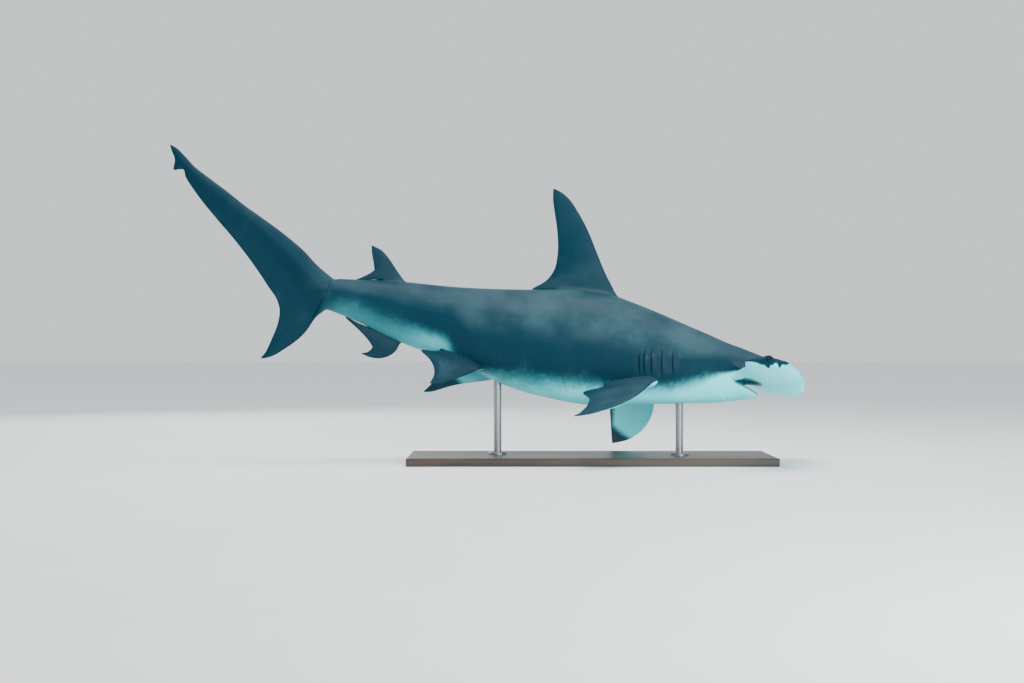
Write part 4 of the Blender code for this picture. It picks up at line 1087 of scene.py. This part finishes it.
def denticle_group():
    """Fine grain of the skin's tiny scales, faint lengthwise streaks and soft folds, as one height; the
    streaks also go out alone for the painted sheen on the back.
    """
    group, given, result = make_group(
        "denticle_grain", [("Place", "NodeSocketVector", None)],
        [("Height", "NodeSocketFloat"), ("Streaks", "NodeSocketFloat"), ("Clouds", "NodeSocketFloat")])
    place = given.outputs["Place"]
    cells = group.nodes.new("ShaderNodeTexVoronoi")
    cells.inputs["Scale"].default_value = 620.0
    mapping = group.nodes.new("ShaderNodeMapping")
    mapping.inputs["Scale"].default_value = (0.6, 1.0, 1.0)
    wire(group, place, mapping.inputs["Vector"])
    wire(group, mapping.outputs["Vector"], cells.inputs["Vector"])
    streaks = add_noise(group, place, 26.0, 4.0, 0.6, (0.16, 1.0, 1.0))
    clouds = add_noise(group, place, 5.0, 4.0, 0.55)
    grain = add_math(group, "MULTIPLY", cells.outputs["Distance"], 0.35)
    folds = add_math(group, "MULTIPLY", streaks, 0.65)
    wire(group, add_math(group, "ADD", grain, folds), result.inputs["Height"])
    wire(group, streaks, result.inputs["Streaks"])
    wire(group, clouds, result.inputs["Clouds"])
    return group


def place_group(tree, group, **values):
    """Place a node group; each named input is a number or a socket."""
    node = tree.nodes.new("ShaderNodeGroup")
    node.node_tree = group
    for key, value in values.items():
        socket = node.inputs[key.capitalize()]
        if isinstance(value, (int, float)):
            socket.default_value = value
        else:
            wire(tree, value, socket)
    return node


def start_material(name):
    """Make a material and return its node tree and its shader."""
    material = bpy.data.materials.new(name)
    material.use_nodes = True
    tree = material.node_tree
    return tree, tree.nodes["Principled BSDF"]


def add_bump(tree, shader, height, strength, distance):
    """Turn a height into the shader's normal."""
    bump = tree.nodes.new("ShaderNodeBump")
    bump.inputs["Strength"].default_value = strength
    bump.inputs["Distance"].default_value = distance
    wire(tree, height, bump.inputs["Height"])
    wire(tree, bump.outputs["Normal"], shader.inputs["Normal"])


def skin_material(colours, ragged, grain):
    """Painted shark skin: slate back, lighter on top as painted light from above and streaked with
    painted sheen, teal flank darkened as painted shade, pale belly with a ragged border, painted
    highlights on the gill flaps and painted shade in the mouth.
    """
    tree, shader = start_material("shark_skin")
    place = attribute(tree, "body_place", "Vector")
    detail = place_group(tree, grain, place=place).outputs
    clouds = detail["Clouds"]
    pale = place_group(tree, ragged, place=place, border=attribute(tree, "pale_side"),
                       raggedness=0.7, softness=1.0).outputs["Mask"]
    back = add_mix(tree, add_range(tree, clouds, 0.35, 0.65), colours.back, colours.back_light)
    # Painted sheen: lengthwise streaks lighten the back towards the sheen colour
    streaks = add_math(tree, "MULTIPLY", add_range(tree, detail["Streaks"], 0.5, 0.7), 0.35)
    sheen_streaked = add_mix(tree, streaks, back, colours.back_light)
    # Painted shade: below the lit top of the back the skin turns to the dark flank colour
    dusk_and_shade = add_mix(tree, attribute(tree, "dusk_and_shade"), sheen_streaked, colours.flank)
    # Lighter blotches on the fins, and painted highlights on the gill flaps
    blotch_and_highlight = place_group(tree, ragged, place=place,
                         border=add_math(tree, "SUBTRACT", attribute(tree, "mottle_and_highlight"), 0.5),
                         raggedness=0.9, softness=0.5).outputs["Mask"]
    light = add_mix(tree, add_math(tree, "MULTIPLY", blotch_and_highlight, 0.60), dusk_and_shade, colours.mottle_and_highlight)
    belly = add_mix(tree, add_range(tree, clouds, 0.3, 0.7), colours.belly, colours.belly_shade)
    shown = add_math(tree, "MULTIPLY", add_math(tree, "POWER", pale, 2.0), attribute(tree, "pale_amount"))
    skin = add_mix(tree, shown, light, belly)
    # Inside of the mouth: lining colour darkened as painted shade
    wire(tree, add_mix(tree, attribute(tree, "lining_and_shade"), skin, colours.mouth), shader.inputs["Base Color"])
    wire(tree, add_range(tree, clouds, 0.3, 0.7, 0.46, 0.60), shader.inputs["Roughness"])
    shader.inputs["Specular IOR Level"].default_value = 0.12
    add_bump(tree, shader, detail["Height"], 0.35, 0.0012)


def eye_material(colours):
    """Dark glossy eye: slit pupil, mottled iris and black rim under a clear coat."""
    tree, shader = start_material("shark_eye")
    ring = attribute(tree, "eye_ring")
    slit = attribute(tree, "eye_slit")
    place = attribute(tree, "body_place", "Vector")
    wide = add_math(tree, "MULTIPLY", add_math(tree, "ABSOLUTE", slit), 1.35)
    far = add_math(tree, "MAXIMUM", wide, ring)
    iris = add_mix(tree, add_noise(tree, place, 900.0), colours.iris, colours.iris_dark)
    with_pupil = add_mix(tree, add_range(tree, far, 0.34, 0.40), (0.002, 0.003, 0.004), iris)
    rim = add_mix(tree, add_range(tree, ring, 0.66, 0.80), with_pupil, (0.004, 0.006, 0.008))
    wire(tree, rim, shader.inputs["Base Color"])
    shader.inputs["Roughness"].default_value = 0.22
    shader.inputs["Specular IOR Level"].default_value = 0.12
    shader.inputs["Coat Weight"].default_value = 0.10
    shader.inputs["Coat Roughness"].default_value = 0.08
    add_bump(tree, shader, add_noise(tree, place, 500.0), 0.05, 0.0002)


def tooth_material(colours):
    """Pale enamel with darker and rougher stains."""
    tree, shader = start_material("tooth_enamel")
    place = attribute(tree, "body_place", "Vector")
    stain = add_noise(tree, place, 180.0, 4.0)
    wire(tree, add_mix(tree, add_range(tree, stain, 0.4, 0.7), colours.tooth, colours.tooth_stain),
         shader.inputs["Base Color"])
    wire(tree, add_range(tree, stain, 0.3, 0.7, 0.18, 0.34), shader.inputs["Roughness"])
    add_bump(tree, shader, add_noise(tree, place, 900.0, 3.0), 0.15, 0.0002)


def object_place(tree):
    """Place on the object, for the stand and the floor."""
    return tree.nodes.new("ShaderNodeTexCoord").outputs["Object"]


def wood_material(colours):
    """Dark satin wood of the stand's base, with long grain and fine pores."""
    tree, shader = start_material("stand_wood")
    place = object_place(tree)
    grain = add_noise(tree, place, 14.0, 8.0, 0.62, (0.07, 1.0, 1.0))
    pores = add_noise(tree, place, 160.0, 3.0, 0.6, (0.04, 1.0, 1.0))
    tone = add_mix(tree, add_range(tree, grain, 0.38, 0.62), colours.wood_dark, colours.wood_light)
    wire(tree, add_mix(tree, add_math(tree, "MULTIPLY", add_range(tree, pores, 0.55, 0.72), 0.5), tone,
                       colours.wood_dark), shader.inputs["Base Color"])
    wire(tree, add_range(tree, grain, 0.3, 0.7, 0.30, 0.42), shader.inputs["Roughness"])
    add_bump(tree, shader, add_math(tree, "ADD", grain, pores), 0.12, 0.0008)


def steel_material(colours):
    """Brushed stainless rod: fine rings round it and faint smudges."""
    tree, shader = start_material("rod_steel")
    place = object_place(tree)
    brush = add_noise(tree, place, 240.0, 3.0, 0.6, (0.06, 0.06, 1.0))
    smudge = add_noise(tree, place, 12.0, 4.0, 0.6)
    wire(tree, add_mix(tree, brush, colours.steel, colours.steel_dark), shader.inputs["Base Color"])
    shader.inputs["Metallic"].default_value = 1.0
    wire(tree, add_range(tree, smudge, 0.35, 0.65, 0.34, 0.46), shader.inputs["Roughness"])
    add_bump(tree, shader, brush, 0.1, 0.0003)


def floor_material(colours):
    """Pale matt studio floor with a trace of unevenness."""
    tree, shader = start_material("studio_floor")
    place = object_place(tree)
    cloud = add_noise(tree, place, 1.5, 4.0, 0.5)
    shade = tuple(c * 0.97 for c in colours.floor)
    wire(tree, add_mix(tree, add_range(tree, cloud, 0.35, 0.65), colours.floor, shade),
         shader.inputs["Base Color"])
    shader.inputs["Roughness"].default_value = 0.7


def colour_property(label, about, value):
    """A colour that the user can change."""
    return FloatVectorProperty(name=label, description=about, default=value, subtype="COLOR", size=3,
                               min=0.0, max=1.0)


class SharkColours(bpy.types.PropertyGroup):
    """Colours of the skin, eyes, teeth, stand and floor"""
    back: colour_property("Back", "Slate of the back and upper flanks", (0.006, 0.036, 0.052))
    # Lighter tone of the back's clouds, and the painted sheen of its streaks
    back_light: colour_property("Back sheen", "Lighter tone in the back's clouds and streaks",
                                (0.026, 0.072, 0.092))
    # Also the painted shade on the flanks below the lit top of the back
    flank: colour_property("Flank and fins", "Dark teal of the lower flank, fins and tail",
                           (0.0002, 0.024, 0.042))
    # Lighter blotches on the fins, and painted highlights on the gill flaps
    mottle_and_highlight: colour_property("Mottling", "Lighter blotches on fins and gills", (0.035, 0.100, 0.130))
    belly: colour_property("Belly", "Pale underside", (0.17, 0.93, 0.98))
    belly_shade: colour_property("Belly shade", "Cooler patches of the underside", (0.11, 0.83, 0.90))
    # Lining of the mouth, darkened as painted shade of its hollow
    mouth: colour_property("Mouth", "Lining of the open mouth", (0.030, 0.200, 0.235))
    iris: colour_property("Iris", "Iris of the eye", (0.008, 0.026, 0.036))
    iris_dark: colour_property("Iris flecks", "Darker flecks of the iris", (0.002, 0.008, 0.012))
    tooth: colour_property("Teeth", "Enamel", (0.44, 0.66, 0.66))
    tooth_stain: colour_property("Tooth stain", "Darker enamel", (0.26, 0.46, 0.47))
    wood_dark: colour_property("Wood dark", "Dark grain of the base", (0.018, 0.011, 0.008))
    wood_light: colour_property("Wood light", "Light grain of the base", (0.055, 0.034, 0.022))
    steel: colour_property("Steel", "Brushed steel of the rods", (0.34, 0.35, 0.36))
    steel_dark: colour_property("Steel shade", "Darker brush lines", (0.22, 0.23, 0.24))
    floor: colour_property("Floor", "Studio floor", (0.88, 0.90, 0.91))


class SharkSizes(bpy.types.PropertyGroup):
    """Fineness of the skin, sizes of fillets and teeth, and the studio's light"""
    head_cell: FloatProperty(name="Head net", description="Cell size of the head's net of faces",
                             default=0.0045, min=0.003, max=0.02, unit="LENGTH")
    fin_fillet: FloatProperty(name="Fin fillet", description="Radius where a fin flows into the body",
                              default=0.024, min=0.002, max=0.06, unit="LENGTH")
    tooth_height: FloatProperty(name="Tooth height", description="Height of the front teeth",
                                default=0.0155, min=0.004, max=0.02, unit="LENGTH")
    tooth_count: IntProperty(name="Teeth", description="Teeth in each row on each side of a jaw",
                             default=14, min=6, max=24)
    lamp_power: FloatProperty(name="Lamp power", description="Power that the soft lamps share out",
                              default=420.0, min=10.0, max=3000.0, unit="POWER")


class SHARK_OT_materials(bpy.types.Operator):
    """Make the finishes of skin, eyes, teeth, stand and floor"""
    bl_idname = "shark.materials"
    bl_label = "Finishes"

    def execute(self, context):
        colours = context.scene.shark_colours
        skin_material(colours, ragged_edge_group(), denticle_group())
        for make in (eye_material, tooth_material, wood_material, steel_material, floor_material):
            make(colours)
        return {"FINISHED"}


class SHARK_OT_skin(bpy.types.Operator):
    """Build the one skin of head, trunk and tail"""
    bl_idname = "shark.skin"
    bl_label = "Skin"

    def execute(self, context):
        points, faces = skin_net(context.scene.shark_sizes.head_cell)
        made = mesh_object("shark_skin", points, faces, "shark_skin", skin_marks(points))
        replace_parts(made, *FLESH_NODES)
        if len(made.data.polygons) > MOST_SKIN_FACES:
            raise RuntimeError("the skin has too many faces")
        return {"FINISHED"}


class SHARK_OT_fins(bpy.types.Operator):
    """Build the fins of the back, the belly and the flanks"""
    bl_idname = "shark.fins"
    bl_label = "Fins"

    def execute(self, context):
        fillet = context.scene.shark_sizes.fin_fillet
        for name, front, rear, thick, share, free_from in MIDDLE_FINS:
            fin_piece(name, front, rear, taper(*thick), upright, fillet * share, free_from,
                      middle_fin_marks)
        for name, front, rear, thick, share, free_from, left, right in PAIRED_FINS:
            marking = pectoral_marks if name == "pectoral_fin" else pelvic_marks
            for word, placing, side in (("left", left, 1), ("right", right, -1)):
                fin_piece(f"{name}_{word}", front, rear, taper(*thick), side_blade(*placing, side),
                          fillet * share, free_from, marking)
        return {"FINISHED"}


class SHARK_OT_eyes(bpy.types.Operator):
    """Build the eyes and the rims of their lids"""
    bl_idname = "shark.eyes"
    bl_label = "Eyes"

    def execute(self, context):
        for name, side in (("left", 1), ("right", -1)):
            points, faces, marks = eye_surface(side)
            made = mesh_object(f"eyeball_{name}", points, faces, "shark_eye", marks)
            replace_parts(made, f"eye_{name}")
            points, faces = lid_surface(side)
            mesh_object(f"eyelid_{name}", points, faces, "shark_skin",
                        even_marks(np.zeros(len(points))))
        return {"FINISHED"}


class SHARK_OT_teeth(bpy.types.Operator):
    """Build the teeth of both jaws"""
    bl_idname = "shark.teeth"
    bl_label = "Teeth"

    def execute(self, context):
        sizes = context.scene.shark_sizes
        tall = sizes.tooth_height
        for name, line, direction, height in (("upper_teeth", upper_lip, -1, tall * 0.75),
                                              ("lower_teeth", lower_lip, 1, tall)):
            points, faces = teeth(line, sizes.tooth_count, height, 0.5, direction, 2)
            mesh_object(name, points, faces, "tooth_enamel", {})
        return {"FINISHED"}


class SHARK_OT_stand(bpy.types.Operator):
    """Give the base and the rods of the stand their finishes"""
    bl_idname = "shark.stand"
    bl_label = "Stand"

    def execute(self, context):
        for node, finish in (("stand_base", "stand_wood"), ("stand_rod_front", "rod_steel"),
                             ("stand_rod_rear", "rod_steel")):
            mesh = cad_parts[node].data
            mesh.materials.clear()
            mesh.materials.append(bpy.data.materials[finish])
        return {"FINISHED"}


def soft_lamp(name, place, aim, size, power, colour):
    """A large soft lamp aimed at a point."""
    data = bpy.data.lights.new(name, "AREA")
    data.shape = "RECTANGLE"
    data.size, data.size_y = size
    data.energy = power
    data.color = colour
    lamp = bpy.data.objects.new(name, data)
    lamp.location = place
    lamp.rotation_euler = (Vector(aim) - Vector(place)).to_track_quat("-Z", "Y").to_euler()
    bpy.context.scene.collection.objects.link(lamp)


class SHARK_OT_stage(bpy.types.Operator):
    """Set the floor, the lamps and the camera"""
    bl_idname = "shark.stage"
    bl_label = "Stage"

    def execute(self, context):
        scene = context.scene
        r = np.linspace(0, FLOOR_RADIUS, 9)[1:, None]
        q = (np.arange(48) / 48 * 2 * math.pi)[None, :]
        rings = np.stack([r * np.cos(q), r * np.sin(q), 0 * r * q], -1)
        mesh = bpy.data.meshes.new("studio_floor")
        mesh.from_pydata(rings.reshape(-1, 3).tolist(), [],
                         grid_faces(8, 48)[:, ::-1].tolist() + [list(range(48))])
        mesh.materials.append(bpy.data.materials["studio_floor"])
        floor = bpy.data.objects.new("studio_floor", mesh)
        scene.collection.objects.link(floor)
        world = bpy.data.worlds.new("studio_air")
        world.use_nodes = True
        air = world.node_tree.nodes["Background"]
        air.inputs["Color"].default_value = AIR_COLOUR
        air.inputs["Strength"].default_value = 1.0
        scene.world = world
        for name, place, aim, size, share, colour in LAMPS:
            soft_lamp(name, place, aim, size, scene.shark_sizes.lamp_power * share, colour)
        centre_x = (FRAME_SIZE[0] / 2 - ORIGIN_PIXEL[0]) * METRES_PER_PIXEL
        centre_z = (ORIGIN_PIXEL[1] - (FRAME_SIZE[1] - 1) / 2) * METRES_PER_PIXEL
        data = bpy.data.cameras.new("photo_view")
        data.sensor_width = 36.0
        data.lens = 36.0 * CAMERA_DISTANCE / (FRAME_SIZE[0] * METRES_PER_PIXEL)
        data.clip_end = 200.0
        camera = bpy.data.objects.new("photo_view", data)
        camera.location = (centre_x, -CAMERA_DISTANCE, centre_z)
        camera.rotation_euler = (math.pi / 2, 0, 0)
        scene.collection.objects.link(camera)
        scene.camera = camera
        return {"FINISHED"}


class SHARK_PT_panel(bpy.types.Panel):
    """Sizes, colours and steps of the shark model"""
    bl_idname = "SHARK_PT_panel"
    bl_label = "Hammerhead"
    bl_space_type = "VIEW_3D"
    bl_region_type = "UI"
    bl_category = "Hammerhead"

    def draw(self, context):
        for group in (context.scene.shark_sizes, context.scene.shark_colours):
            box = self.layout.box()
            for key in group.__annotations__:
                box.prop(group, key)
        for step in STEPS:
            self.layout.operator(f"shark.{step}")


STEPS = ("materials", "skin", "fins", "eyes", "teeth", "stand", "stage")
CLASSES = (SharkColours, SharkSizes, SHARK_OT_materials, SHARK_OT_skin, SHARK_OT_fins, SHARK_OT_eyes,
           SHARK_OT_teeth, SHARK_OT_stand, SHARK_OT_stage, SHARK_PT_panel)


def register():
    """Make the classes and the two groups of settings known."""
    for kind in CLASSES:
        bpy.utils.register_class(kind)
    bpy.types.Scene.shark_colours = PointerProperty(type=SharkColours)
    bpy.types.Scene.shark_sizes = PointerProperty(type=SharkSizes)


def unregister():
    """Take them away again."""
    del bpy.types.Scene.shark_sizes
    del bpy.types.Scene.shark_colours
    for kind in reversed(CLASSES):
        bpy.utils.unregister_class(kind)


def main():
    """Build everything in order."""
    register()
    for step in STEPS:
        if getattr(bpy.ops.shark, step)() != {"FINISHED"}:
            raise RuntimeError(f"the step {step} did not finish")
    bpy.context.view_layer.update()


if __name__ == "__main__":
    main()
